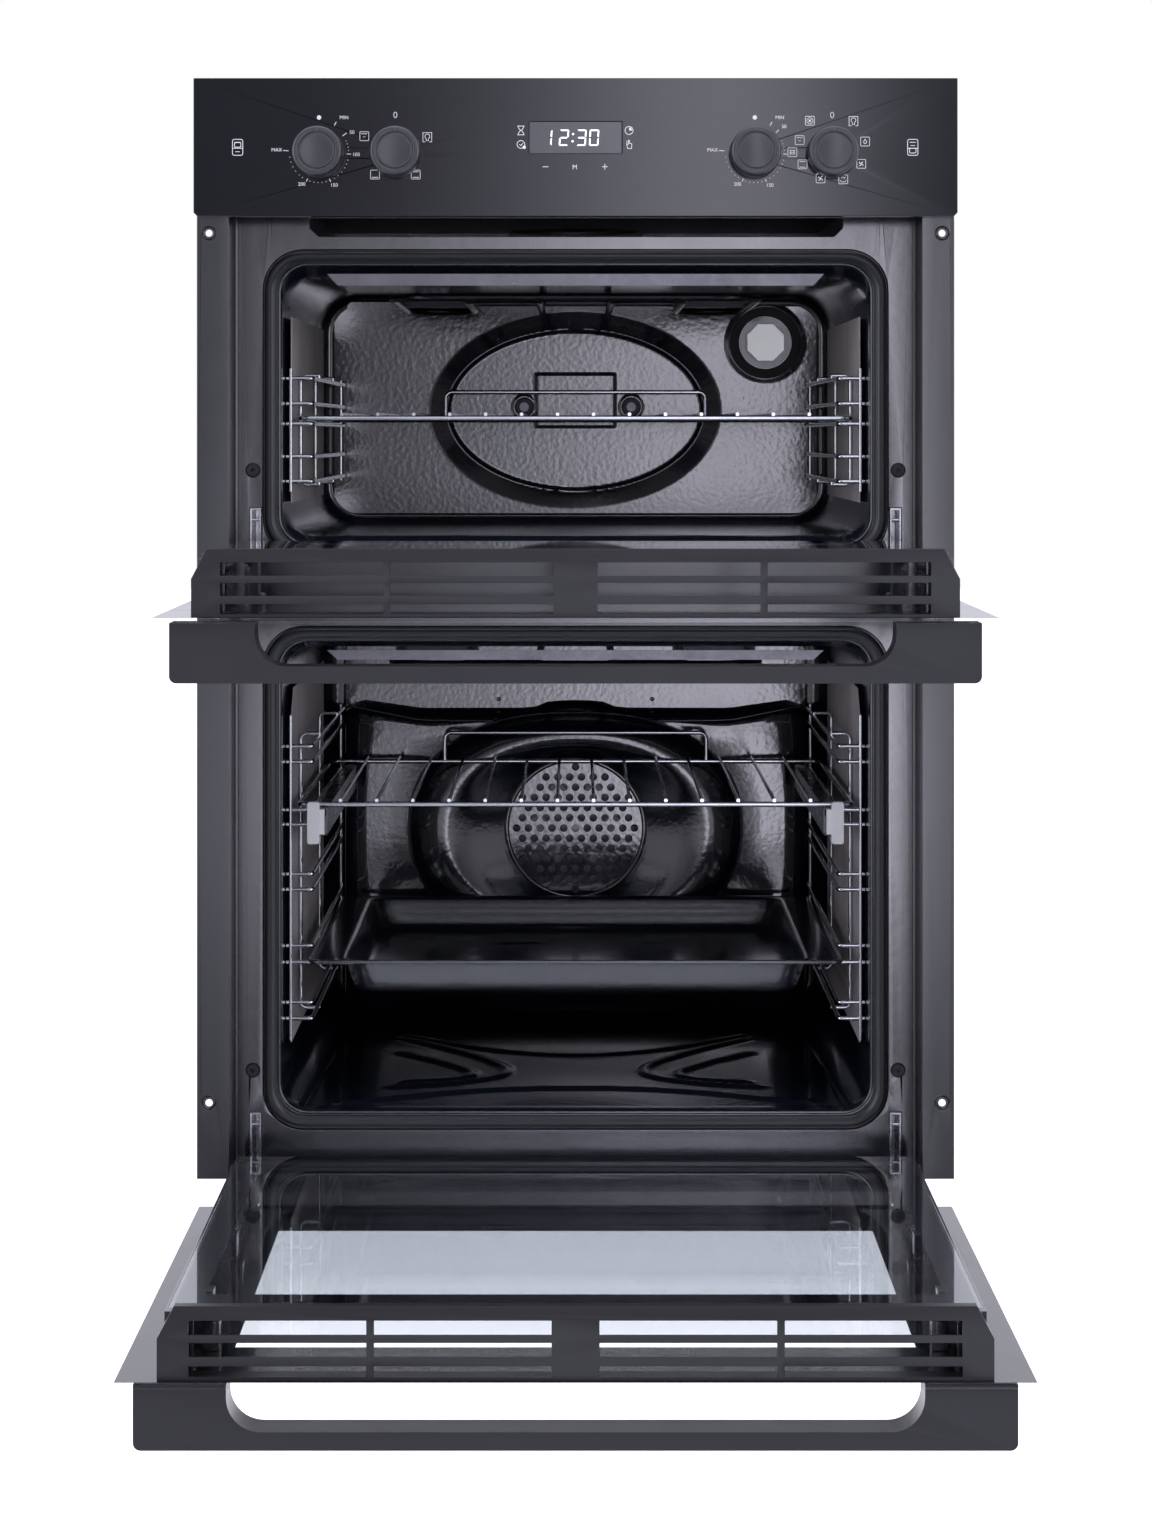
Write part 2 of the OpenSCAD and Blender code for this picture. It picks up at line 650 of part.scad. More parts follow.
module fan_cover() {
  color([0.13, 0.14, 0.17]) place() {
    difference() {
      plate(cover_y, cover_y + 1.2) difference() {
        polygon(concat([[-211, 82]], cover_top, [for (i = [len(cover_top) - 2:-1:0]) [-cover_top[i][0], cover_top[i][1]]], [[211, 82]]));
        translate([0, fan_z]) polygon(oval(152.4, 105.4, 40));
      }
      // air outlets along the sides
      both() for (i = [0:5]) bx(178, 198, cover_y - 1, cover_y + 3, 120 + i * 36, 132 + i * 36);
      for (m = [-1, 1], z = [104, 335]) bar_y(m * 190, cover_y - 1, cover_y + 3, z, 2.2);
    }
    // side returns to the back wall
    both() bx(209.8, 211, cover_y, 424.6, 82, 356);
    translate([0, 0, fan_z]) {
      for (i = [0:2]) dome_step(dome[i][0] + 0.6, dome[i][1] + 0.6, dome[i + 1][0], dome[i + 1][1],
        cover_y - dome[i][2], cover_y - (i == 0 ? 0 : dome[i - 1][2]) + 1.2);
      // the hollow around the fan eye
      plate(cover_y - 17.4, cover_y - dome[2][2] + 1.2) difference() {
        polygon(oval(126.6, 86.6, 40));
        polygon(oval(125.4, 85.4, 40));
      }
      difference() {
        plate(cover_y - 17.4, cover_y - 16.2) polygon(oval(126.6, 86.6, 40));
        bar_y(0, cover_y - 20, cover_y, 0, 76);
      }
      difference() {
        translate([0, cover_y - 17.4, 0]) rotate([-90, 0, 0]) cylinder(r1 = 77.2, r2 = 64, h = 16);
        translate([0, cover_y - 17.5, 0]) rotate([-90, 0, 0]) cylinder(r1 = 76, r2 = 62.6, h = 16.2);
      }
    }
    // perforated disc over the fan eye
    plate(cover_y - 2.4, cover_y - 1.2) translate([0, fan_z]) difference() {
      circle(64);
      for (i = [-7:7], j = [-8:8]) {
        x = (i + (abs(j) % 2) / 2) * perf_pitch;
        z = j * perf_pitch * 0.866;
        if (sqrt(x * x + z * z) < 61.5 - perf_r - 1) translate([x, z]) circle(perf_r);
      }
    }
  }
}

module fan_wheel() {
  color([0.72, 0.73, 0.74]) place() translate([0, 0, fan_z]) {
    difference() {
      union() {
        bar_y(0, 417.2, 418.4, 0, 66);
        bar_y(0, 408, 421, 0, 9);
      }
      bar_y(0, 404, 424, 0, 4.05);
      for (a = [0:60:300]) rotate([0, a, 0]) bar_y(34, 416, 420, 0, 9);
    }
    for (i = [0:fan_blades - 1]) rotate([0, i * 360 / fan_blades, 0])
      translate([52, 405.5, -0.6]) cube([13, 12.2, 1.2]);
  }
}

module ring_element() {
  color([0.45, 0.44, 0.43]) place() {
    translate([0, 413, fan_z]) rotate([90, 0, 0]) rotate_extrude() translate([86, 0]) circle(3.2);
    for (x = [-12, 12]) bar_y(x, 413, 440, fan_z - 85, 2.8);
  }
}

module fan_motor() {
  color([0.55, 0.55, 0.56]) place() translate([0, 0, fan_z]) {
    difference() {
      bar_y(0, 427.2, 429, 0, 46);
      bar_y(0, 420, 440, 0, 9);
      for (a = [45:90:315]) rotate([0, a, 0]) bar_y(38, 420, 440, 0, 2.5);
    }
    bx(-34, 34, 446, 476, -40, 32);
    bar_y(0, 428.4, 446.5, 0, 14);
    for (x = [-28, 28], z = [-24, 24]) bar_y(x, 428.6, 447, z, 3);
    bx(-18, 18, 444, 480, 31.5, 50);
    // shaft through the back wall to the wheel
    bar_y(0, 407, 430, 0, 4);
  }
}

module lamp_housing() {
  color([0.1, 0.1, 0.11]) place() difference() {
    union() {
      plate(398, 399.8) translate([174, 695]) circle(33);
      plate(399.6, 440) translate([174, 695]) circle(26.6);
    }
    plate(395, 432) translate([174, 695]) circle(24);
    plate(431, 442) translate([174, 695]) circle(8);
  }
}

module lamp_lens() {
  color([0.8, 0.8, 0.78]) place() {
    plate(396.6, 412) translate([174, 695]) circle(23.6);
    plate(392.6, 396.8) translate([174, 695]) rotate(22.5) circle(19.4, $fn = 8);
  }
}

// ---------------------------------------------------------------- cooling fan

module cooling_duct() {
  color([0.66, 0.67, 0.68]) place() {
    difference() {
      bx(-214, 215, 3.2, 300, 766.6, 790);
      bx(-212.8, 213.8, 2, 299, 767.8, 788.8);
      bar_z(0, 290, 780, 800, 60);
    }
    difference() {
      bar_z(0, 330, 790.2, 834, 92);
      bar_z(0, 330, 791.4, 832.8, 90.6);
      bar_z(0, 330, 826, 840, 46);
      bx(-60, 60, 226, 300, 788, 791.6);
      bar_z(0, 290, 786, 791.6, 59);
    }
  }
}

module cooling_rotor() {
  color([0.5, 0.5, 0.52]) place() translate([0, 330, 0]) {
    difference() {
      union() {
        bar_z(0, 0, 797, 798.2, 74);
        bar_z(0, 0, 797, 816, 10);
      }
      bar_z(0, 0, 790, 830, 4.02);
    }
    for (i = [0:rotor_blades - 1]) rotate([0, 0, i * 360 / rotor_blades]) translate([60, -0.5, 798])
      cube([13, 1, 26]);
    difference() {
      bar_z(0, 0, 822.5, 824, 74);
      bar_z(0, 0, 820, 826, 60);
    }
  }
}

module cooling_motor() {
  color([0.5, 0.5, 0.52]) place() translate([0, 330, 0]) {
    bar_z(0, 0, 795, 858, 3.94);
    difference() {
      union() {
        bar_z(0, 0, 840, 870, 34);
        bx(-64, 64, -9, 9, 836, 838);
        for (x = [-56, 56]) bar_z(x, 0, 834.2, 837, 4);
        bar_z(0, 0, 834.5, 842, 11);
      }
      for (a = [0:45:315]) rotate([0, 0, a]) translate([22, 0, 864]) cylinder(r = 3, h = 10);
    }
  }
}

module terminal_block() {
  color([0.12, 0.12, 0.12]) place() {
    difference() {
      bx(152, 234, case_d - 26, case_d - 0.5, 788, 844);
      bx(156, 230, case_d - 22, case_d + 1, 806, 840);
      // slot for the supply cable, open to the rear
      bx(186, 200, case_d - 18, case_d + 1, 780, 808);
    }
    for (i = [0:4]) difference() {
      bx(160 + i * 14, 171 + i * 14, case_d - 22.2, case_d - 10, 812, 834);
      bar_y(165.5 + i * 14, case_d - 14, case_d, 823, 3);
    }
  }
}

// ---------------------------------------------------------------- telescopic runners

module runner_rails() color([0.3, 0.31, 0.33]) place() both() {
  difference() {
    bx(201.4, 209.4, 54, 380, 286, 308.4);
    bx(200, 208, 53, 381, 287.2, 307.2);
  }
  // clips over the lower rack wire
  for (y = [64, 366]) {
    bx(209, 217, y, y + 8, 299.5, 300.7);
    bx(215.8, 217, y, y + 8, 294, 300.7);
  }
}

module runner_middles() color([0.35, 0.36, 0.38]) place() both() difference() {
  bx(201.2, 207.4, 50, 376, 288, 306.4);
  bx(200, 206, 49, 377, 289.2, 305.2);
}

module runner_slides() color([0.3, 0.31, 0.33]) place() both() {
  bx(199.4, 205.2, 34.8, 374, 290, 304.4);
  bx(199.4, 200.7, 34.8, 374, 290, 310.7);
  bx(199.4, 209.2, 34.8, 374, 309.7, 310.7);
}

module runner_stops() color([0.93, 0.93, 0.92]) place() both() {
  plate(26.5, 34.3) union() {
    translate([205.6, 284.4]) square([9.6, 29.5]);
    translate([207.6, 282.4]) square([5.6, 33.5]);
    for (x = [207.6, 213.2], z = [284.4, 313.9]) translate([x, z]) circle(2);
  }
  plate(28, 34.3) translate([201.6, 290]) square([4.4, 20]);
}

// ---------------------------------------------------------------- shelves and tray

// a wire shelf: frame, rods on top, and a stop wire at the rear
module shelf(z, y0, y1, hx, pitch, stop_hx, stop_h) {
  fr = 2.2;
  c = 9;
  bar_x(-hx + c, hx - c, y0, z, fr);
  bar_x(-hx + c, hx - c, y1, z, fr);
  both() {
    bar_y(hx, y0 + c, y1 - c, z, fr);
    bend(hx - c, y0 + c, z, c, fr, -90);
    bend(hx - c, y1 - c, z, c, fr, 0);
  }
  for (i = [0:rod_count - 1]) bar_y((i - (rod_count - 1) / 2) * pitch, y0 - 1, y1 + 2.4, z + 1.8 + rod_r, rod_r);
  // stop wire
  bar_x(-stop_hx + 6, stop_hx - 6, y1, z + stop_h, 1.9);
  both() {
    bar_z(stop_hx, y1, z - 0.5, z + stop_h - 6, 1.9);
    translate([stop_hx - 6, y1, z + stop_h - 6]) rotate([90, 0, 0]) rotate_extrude(angle = 90) translate([6, 0]) circle(1.9);
  }
}

module upper_shelf() color([0.8, 0.8, 0.82]) place() shelf(624, 37.2, 383.3, 222.5, 28.95, 118.3, 25.4);
module lower_shelf() color([0.8, 0.8, 0.82]) place() shelf(313.2, 37, 379, 222.6, 29.1, 119, 26);

module tray_corner(hx, y0, y1, r) {
  translate([-hx + r, y0]) square([2 * (hx - r), y1 - y0]);
  translate([-hx, y0 + r]) square([2 * hx, y1 - y0 - 2 * r]);
  for (x = [-hx + r, hx - r], y = [y0 + r, y1 - r]) translate([x, y]) circle(r);
}

module baking_tray() {
  zt = 190.4;
  color([0.07, 0.08, 0.1]) place() difference() {
    union() {
      // rim, carried on the rack wires
      translate([0, 0, zt - 2]) linear_extrude(2) tray_corner(214.5, 20, 382, 10);
      translate([0, 0, zt - tray_h]) linear_extrude(tray_h - 1) tray_corner(186, 26, 376, 16);
    }
    translate([0, 0, zt - tray_h + 1.6]) linear_extrude(tray_h + 10) tray_corner(184.4, 27.6, 374.4, 14.4);
    for (m = [-1, 1], y = [340, 356]) bx(m * 200 - 5, m * 200 + 5, y, y + 9, zt - 3, zt + 1);
  }
}

side_trim_left();
side_trim_right();
front_frame();
upper_cavity();
lower_cavity();
upper_seal();
lower_seal();
side_panel_left();
side_panel_right();
top_cover();
rear_panel();
base_pan();
control_fascia();
display_window();
control_board();
knob_switches();
upper_grill();
lower_grill();
upper_racks();
lower_racks();
catalytic_liners();
fan_cover();
ring_element();
fan_motor();
fan_wheel();
lamp_housing();
lamp_lens();
hinge_receivers();
hinge_claws();
frame_buffers();
cooling_duct();
cooling_motor();
cooling_rotor();
runner_rails();
runner_middles();
runner_slides();
runner_stops();
terminal_block();
insulation();
case_screws();
upper_outer_glass();
upper_inner_glass();
upper_rails();
upper_cap();
upper_handle();
upper_hinges();
lower_outer_glass();
lower_middle_glass();
lower_inner_glass();
lower_rails();
lower_cap();
lower_handle();
lower_hinges();
upper_shelf();
lower_shelf();
baking_tray();
thermostat_knob_upper();
function_knob_upper();
thermostat_knob_lower();
function_knob_lower();
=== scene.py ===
import json
import math

import bmesh
import bpy
import numpy as np
from mathutils import Matrix, Vector


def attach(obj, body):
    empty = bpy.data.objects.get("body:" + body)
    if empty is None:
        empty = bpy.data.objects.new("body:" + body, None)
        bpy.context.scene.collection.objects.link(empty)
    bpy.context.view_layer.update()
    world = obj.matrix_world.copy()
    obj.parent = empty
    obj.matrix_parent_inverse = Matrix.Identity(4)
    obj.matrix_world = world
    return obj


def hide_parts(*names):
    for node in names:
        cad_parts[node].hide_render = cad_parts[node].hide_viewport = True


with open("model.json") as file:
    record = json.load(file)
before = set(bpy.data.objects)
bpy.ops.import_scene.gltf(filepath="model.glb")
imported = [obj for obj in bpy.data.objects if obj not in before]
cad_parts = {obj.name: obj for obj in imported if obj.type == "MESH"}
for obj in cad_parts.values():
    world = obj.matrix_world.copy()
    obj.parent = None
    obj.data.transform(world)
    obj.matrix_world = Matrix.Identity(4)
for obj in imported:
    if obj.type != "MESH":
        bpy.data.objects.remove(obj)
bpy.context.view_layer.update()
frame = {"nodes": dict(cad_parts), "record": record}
NODES = frame["nodes"]

# ------------------------------------------------------------------ measures
# design measure: x across, y back from the front frame, z up from the base, in mm
OY, OZ = -44.0, 428.75


def P(x, y, z):
    return Vector((x / 1000, (y - OY) / 1000, (z - OZ) / 1000))


FRONT_Y = -54.0
BACK_EDGE = -21.5
DOOR_Z = [-0.5, 479.0]
DOOR_L = [474.5, 289.0]
OPEN_X = 234.0
OPEN_Z = [[74.0, 447.0], [524.7, 745.0]]
SEAL_X = 248.0
SEAL_Z = [[59.3, 458.8], [512.0, 757.6]]
CAV_Z = [[74.0, 441.0], [530.0, 737.0]]
BACK_Y = [425.0, 400.0]
KNOB_X = [-199.3, -139.3, 139.3, 199.3]
KNOB_Z = 829.7
FAN_Z = 250.0

# ------------------------------------------------------------------ materials


def nt_new(name):
    m = bpy.data.materials.new(name)
    m.use_nodes = True
    nt = m.node_tree
    nt.nodes.clear()
    out = nt.nodes.new("ShaderNodeOutputMaterial")
    return m, nt, out


def coords(nt, scale=(1, 1, 1)):
    t = nt.nodes.new("ShaderNodeTexCoord")
    mp = nt.nodes.new("ShaderNodeMapping")
    mp.inputs["Scale"].default_value = scale
    nt.links.new(t.outputs["Object"], mp.inputs["Vector"])
    return mp.outputs["Vector"]


def noise(nt, vec, scale, detail=3.0, rough=0.5):
    n = nt.nodes.new("ShaderNodeTexNoise")
    n.inputs["Scale"].default_value = scale
    n.inputs["Detail"].default_value = detail
    n.inputs["Roughness"].default_value = rough
    nt.links.new(vec, n.inputs["Vector"])
    return n.outputs["Fac"]


def remap(nt, value, lo, hi, a, b):
    r = nt.nodes.new("ShaderNodeMapRange")
    r.inputs["From Min"].default_value = lo
    r.inputs["From Max"].default_value = hi
    r.inputs["To Min"].default_value = a
    r.inputs["To Max"].default_value = b
    nt.links.new(value, r.inputs["Value"])
    return r.outputs["Result"]


def ramp(nt, value, stops):
    r = nt.nodes.new("ShaderNodeValToRGB")
    e = r.color_ramp.elements
    while len(e) < len(stops):
        e.new(0.5)
    for k, (p, c) in zip(e, stops):
        k.position = p
        k.color = (*c, 1)
    nt.links.new(value, r.inputs["Fac"])
    return r.outputs["Color"]


def mix_rgb(nt, fac, a, b):
    m = nt.nodes.new("ShaderNodeMix")
    m.data_type = "RGBA"
    for sock, v in ((0, fac), (6, a), (7, b)):
        if isinstance(v, bpy.types.NodeSocket):
            nt.links.new(v, m.inputs[sock])
        else:
            m.inputs[sock].default_value = (*v, 1) if sock else v
    return m.outputs[2]


def mul(nt, a, b, op="MULTIPLY"):
    m = nt.nodes.new("ShaderNodeMath")
    m.operation = op
    for i, v in enumerate((a, b)):
        if isinstance(v, bpy.types.NodeSocket):
            nt.links.new(v, m.inputs[i])
        else:
            m.inputs[i].default_value = v
    return m.outputs[0]


def bump(nt, height, strength, distance, prev=None):
    b = nt.nodes.new("ShaderNodeBump")
    b.inputs["Strength"].default_value = strength
    b.inputs["Distance"].default_value = distance
    nt.links.new(height, b.inputs["Height"])
    if prev is not None:
        nt.links.new(prev, b.inputs["Normal"])
    return b.outputs["Normal"]


# mask of sharp convex edges, used for the painted edge highlight
def edge_mask(nt, lo=0.52, hi=0.62):
    g = nt.nodes.new("ShaderNodeNewGeometry")
    return remap(nt, g.outputs["Pointiness"], lo, hi, 0.0, 1.0)


def surface(name, base, alt, rough, spread=0.06, metal=0.0, coat=0.0, coat_rough=0.05, spec=0.5,
            patch=6.0, grain=600.0, grain_bump=0.12, grain_d=0.0002, wave=0.0, wave_scale=45.0,
            wave_d=0.0006, stretch=(1, 1, 1), edge_highlight=None, speck=None, ior=1.5, extra=None):
    """A painted, enamelled, plated or moulded surface: two tones in patches, varied roughness and a fine grain."""
    m, nt, out = nt_new(name)
    p = nt.nodes.new("ShaderNodeBsdfPrincipled")
    v = coords(nt)
    vs = coords(nt, stretch)
    patchy = noise(nt, v, patch, 4.0, 0.6)
    col = mix_rgb(nt, remap(nt, patchy, 0.35, 0.68, 0, 1), base, alt)
    fine = noise(nt, vs, grain, 2.0, 0.6)
    if speck:
        vor = nt.nodes.new("ShaderNodeTexVoronoi")
        vor.inputs["Scale"].default_value = speck[0]
        nt.links.new(v, vor.inputs["Vector"])
        col = mix_rgb(nt, remap(nt, vor.outputs["Distance"], 0.02, 0.22, 1, 0), col, speck[1])
    # painted highlight: sharp convex edges, found by pointiness, are lightened as if catching the light
    if edge_highlight:
        col = mix_rgb(nt, mul(nt, edge_mask(nt), edge_highlight[0]), col, edge_highlight[1])
    if extra:
        col = extra(nt, col)
    nt.links.new(col, p.inputs["Base Color"])
    mid = noise(nt, v, patch * 5.0, 5.0, 0.65)
    both_n = mul(nt, mul(nt, mid, 0.6), mul(nt, fine, 0.4), "ADD")
    nt.links.new(remap(nt, both_n, 0.3, 0.7, max(0.01, rough - spread), rough + spread), p.inputs["Roughness"])
    n1 = bump(nt, fine, grain_bump, grain_d)
    if wave > 0:
        n1 = bump(nt, noise(nt, v, wave_scale, 1.0, 0.4), wave, wave_d, n1)
    nt.links.new(n1, p.inputs["Normal"])
    p.inputs["Metallic"].default_value = metal
    p.inputs["Coat Weight"].default_value = coat
    p.inputs["Coat Roughness"].default_value = coat_rough
    p.inputs["Specular IOR Level"].default_value = spec
    p.inputs["IOR"].default_value = ior
    nt.links.new(p.outputs[0], out.inputs["Surface"])
    return m


def pane(name, tint, ior=1.5, rough=0.0):
    """Flat glass that lets light through: clear by the tint, mirrored by Fresnel, with faint wiping marks."""
    m, nt, out = nt_new(name)
    tr = nt.nodes.new("ShaderNodeBsdfTransparent")
    tr.inputs["Color"].default_value = (*tint, 1)
    gl = nt.nodes.new("ShaderNodeBsdfGlossy")
    v = coords(nt)
    gl.inputs["Color"].default_value = (1, 1, 1, 1)
    smear = noise(nt, v, 14.0, 4.0, 0.6)
    nt.links.new(remap(nt, smear, 0.35, 0.75, 0.005 + rough, 0.03 + rough), gl.inputs["Roughness"])
    f = nt.nodes.new("ShaderNodeFresnel")
    f.inputs["IOR"].default_value = ior
    geo = nt.nodes.new("ShaderNodeNewGeometry")
    front = mul(nt, 1.0, geo.outputs["Backfacing"], "SUBTRACT")
    mx = nt.nodes.new("ShaderNodeMixShader")
    nt.links.new(mul(nt, f.outputs[0], front), mx.inputs[0])
    nt.links.new(tr.outputs[0], mx.inputs[1])
    nt.links.new(gl.outputs[0], mx.inputs[2])
    nt.links.new(mx.outputs[0], out.inputs["Surface"])
    return m


def glow(name, col, strength):
    m, nt, out = nt_new(name)
    p = nt.nodes.new("ShaderNodeBsdfPrincipled")
    v = coords(nt)
    c = ramp(nt, noise(nt, v, 300.0, 2.0), [(0.3, [k * 0.9 for k in col]), (0.7, col)])
    nt.links.new(c, p.inputs["Base Color"])
    nt.links.new(c, p.inputs["Emission Color"])
    p.inputs["Emission Strength"].default_value = strength
    p.inputs["Roughness"].default_value = 0.4
    nt.links.new(p.outputs[0], out.inputs["Surface"])
    return m


def axis_of(nt, k):
    """The object's own position along one axis of the shared frame, in metres."""
    t = nt.nodes.new("ShaderNodeTexCoord")
    q = nt.nodes.new("ShaderNodeSeparateXYZ")
    nt.links.new(t.outputs["Object"], q.inputs[0])
    return q.outputs[k]


def near_xz(nt, cx, cz, r, soft=0.0003):
    """1 within r of a line along y through (cx, cz), else 0; all in metres of the shared frame."""
    dx = mul(nt, axis_of(nt, 0), cx, "SUBTRACT")
    dz = mul(nt, axis_of(nt, 2), cz, "SUBTRACT")
    d = mul(nt, mul(nt, mul(nt, dx, dx), mul(nt, dz, dz), "ADD"), 0.5, "POWER")
    return remap(nt, d, r - soft, r + soft, 1.0, 0.0)


def strip_or_tube(nt, col):
    """The element: base colour bright in the front strip, dark along the tube behind."""
    back = remap(nt, axis_of(nt, 1), 0.0555, 0.057, 0.0, 1.0)
    return mix_rgb(nt, back, col, (0.030, 0.031, 0.036))


def lens_or_disc(nt, col):
    """The lamp cover: pale glass in the faceted lens, grey on the disc behind it."""
    back = remap(nt, axis_of(nt, 1), 0.4394, 0.4402, 0.0, 1.0)
    dx = mul(nt, mul(nt, axis_of(nt, 0), 0.174, "SUBTRACT"), 0.0, "ABSOLUTE")
    dz = mul(nt, mul(nt, axis_of(nt, 2), (695 - OZ) / 1000, "SUBTRACT"), 0.0, "ABSOLUTE")
    side = mul(nt, mul(nt, dx, dz, "MAXIMUM"), mul(nt, mul(nt, dx, dz, "ADD"), 0.7071), "MAXIMUM")
    rim = remap(nt, side, 0.0164, 0.0168, 1.0, 0.0)
    front = mix_rgb(nt, rim, (0.02, 0.02, 0.024), col)
    return mix_rgb(nt, back, front, (0.050, 0.051, 0.060))


def wall_screw(nt, col):
    """The two screws on the upper back wall: a black cup with a grey head in the middle."""
    z = (636 - OZ) / 1000
    deep = remap(nt, axis_of(nt, 1), 0.47, 0.48, 1.0, 0.0)
    cup = mul(nt, mul(nt, near_xz(nt, -0.047, z, 0.0095), near_xz(nt, 0.051, z, 0.0095), "ADD"), deep)
    head = mul(nt, near_xz(nt, -0.047, z, 0.0042), near_xz(nt, 0.051, z, 0.0042), "ADD")
    return mix_rgb(nt, cup, col, mix_rgb(nt, head, (0.006, 0.007, 0.010), (0.20, 0.20, 0.215)))


M = {}
# black_steel, cap_black and gloss_black take a painted highlight on their sharp edges
M["black_steel"] = surface("black_steel", (0.010, 0.0105, 0.015), (0.014, 0.0145, 0.019), 0.19, 0.03, coat=0.25,
                           coat_rough=0.16, spec=0.75, ior=1.75, patch=4, grain=900, grain_bump=0.07,
                           edge_highlight=(0.2, (0.07, 0.07, 0.08)))
M["cap_black"] = surface("cap_black", (0.016, 0.0157, 0.0180), (0.020, 0.0197, 0.0220), 0.33, 0.05, coat=0.0,
                         spec=0.45, patch=5, grain=1100, grain_bump=0.14, edge_highlight=(0.3, (0.09, 0.09, 0.10)))
M["enamel"] = surface("enamel", (0.009, 0.0098, 0.0145), (0.012, 0.0128, 0.018), 0.16, 0.025, coat=0.4, coat_rough=0.12,
                      spec=0.9, ior=1.85, patch=5, grain=500, grain_bump=0.05, wave=0.10, wave_scale=150, wave_d=0.0003)
M["cavity_enamel"] = surface("cavity_enamel", (0.0078, 0.0110, 0.0195), (0.0098, 0.0132, 0.0225), 0.12, 0.02, coat=0.35,
                             coat_rough=0.08, spec=0.70, ior=1.8, patch=5, grain=420, grain_bump=0.05, wave=0.35,
                             wave_scale=230, wave_d=0.00026)
M["seal_rubber"] = surface("seal_rubber", (0.007, 0.008, 0.011), (0.011, 0.012, 0.015), 0.40, 0.08, patch=10, grain=1400,
                           grain_bump=0.25, spec=0.5, coat=0.3, coat_rough=0.15)
M["zinc_steel"] = surface("zinc_steel", (0.34, 0.345, 0.36), (0.43, 0.435, 0.45), 0.38, 0.10, metal=1.0, patch=26,
                          grain=700, grain_bump=0.12, speck=(120, (0.60, 0.61, 0.64)))
M["black_glass"] = surface("black_glass", (0.0060, 0.0070, 0.0110), (0.0075, 0.0085, 0.0125), 0.11, 0.015, coat=0.35,
                           coat_rough=0.06, spec=0.5, patch=3, grain=260, grain_bump=0.015)
M["display"] = surface("display", (0.085, 0.086, 0.098), (0.105, 0.106, 0.118), 0.2, 0.04, coat=0.4, coat_rough=0.08,
                       patch=20, grain=900, grain_bump=0.05)
M["board"] = surface("board", (0.02, 0.09, 0.045), (0.03, 0.13, 0.06), 0.5, 0.08, patch=60, grain=900, grain_bump=0.3)
M["ceramic_body"] = surface("ceramic_body", (0.60, 0.57, 0.50), (0.70, 0.67, 0.60), 0.6, 0.08, patch=30, grain=900,
                            grain_bump=0.3)
M["element_steel"] = surface("element_steel", (0.16, 0.16, 0.175), (0.20, 0.20, 0.215), 0.24, 0.05, metal=0.9, patch=30,
                             grain=800, grain_bump=0.08, extra=strip_or_tube)
M["chrome_wire"] = surface("chrome_wire", (0.62, 0.63, 0.67), (0.72, 0.73, 0.77), 0.12, 0.04, metal=1.0, patch=40,
                           grain=1200, grain_bump=0.05)
M["liner_enamel"] = surface("liner_enamel", (0.50, 0.455, 0.460), (0.64, 0.585, 0.590), 0.62, 0.08, patch=14, grain=750,
                            grain_bump=0.5, grain_d=0.0004, speck=(900, (0.34, 0.31, 0.31)))
M["motor_steel"] = surface("motor_steel", (0.32, 0.32, 0.33), (0.44, 0.44, 0.45), 0.4, 0.1, metal=1.0, patch=20,
                           grain=800, grain_bump=0.2)
M["aluminium"] = surface("aluminium", (0.10, 0.10, 0.11), (0.17, 0.17, 0.18), 0.38, 0.08, metal=1.0, patch=20,
                         grain=900, grain_bump=0.15)
M["lamp_black"] = surface("lamp_black", (0.005, 0.006, 0.008), (0.008, 0.009, 0.011), 0.45, 0.06, coat=0.0, spec=0.3, patch=20,
                          grain=700, grain_bump=0.1)
M["lamp_disc"] = surface("lamp_disc", (0.10, 0.10, 0.105), (0.15, 0.15, 0.155), 0.35, 0.08, metal=0.5, patch=40,
                         grain=900, grain_bump=0.1)
M["lamp_glass"] = surface("lamp_glass", (0.80, 0.81, 0.83), (0.92, 0.93, 0.95), 0.20, 0.04, coat=0.6, patch=25,
                          grain=300, grain_bump=0.15, wave=0.3, wave_scale=220, extra=lens_or_disc)
M["zinc_bright"] = surface("zinc_bright", (0.55, 0.56, 0.59), (0.70, 0.71, 0.74), 0.24, 0.07, metal=1.0, patch=50,
                           grain=900, grain_bump=0.10)
M["screw_zinc"] = surface("screw_zinc", (0.50, 0.51, 0.53), (0.66, 0.67, 0.69), 0.30, 0.07, metal=0.6, patch=50,
                          grain=900, grain_bump=0.12, extra=wall_screw)
M["black_plastic"] = surface("black_plastic", (0.018, 0.0185, 0.022), (0.026, 0.0265, 0.030), 0.45, 0.06, patch=20,
                             grain=1500, grain_bump=0.4)
M["dark_steel"] = surface("dark_steel", (0.10, 0.10, 0.11), (0.17, 0.17, 0.185), 0.28, 0.08, metal=0.9, patch=18,
                          grain=300, grain_bump=0.12, stretch=(6, 0.4, 6))
M["white_plastic"] = surface("white_plastic", (0.86, 0.86, 0.86), (0.91, 0.91, 0.91), 0.38, 0.05, patch=30, grain=900,
                             grain_bump=0.10)
M["wool"] = surface("wool", (0.58, 0.53, 0.36), (0.72, 0.68, 0.50), 0.95, 0.04, patch=40, grain=260, grain_bump=1.0,
                    grain_d=0.004)
M["pane_glass"] = pane("pane_glass", (0.93, 0.94, 0.95))
M["print_black"] = surface("print_black", (0.005, 0.006, 0.009), (0.008, 0.009, 0.012), 0.22, 0.04, coat=0.4,
                           coat_rough=0.05, patch=6, grain=700, grain_bump=0.03)
M["gloss_black"] = surface("gloss_black", (0.026, 0.0255, 0.030), (0.031, 0.0305, 0.035), 0.32, 0.04, coat=0.0,
                           coat_rough=0.25, spec=0.45, ior=1.5, patch=5, grain=900, grain_bump=0.03,
                           edge_highlight=(0.2, (0.07, 0.07, 0.08)))
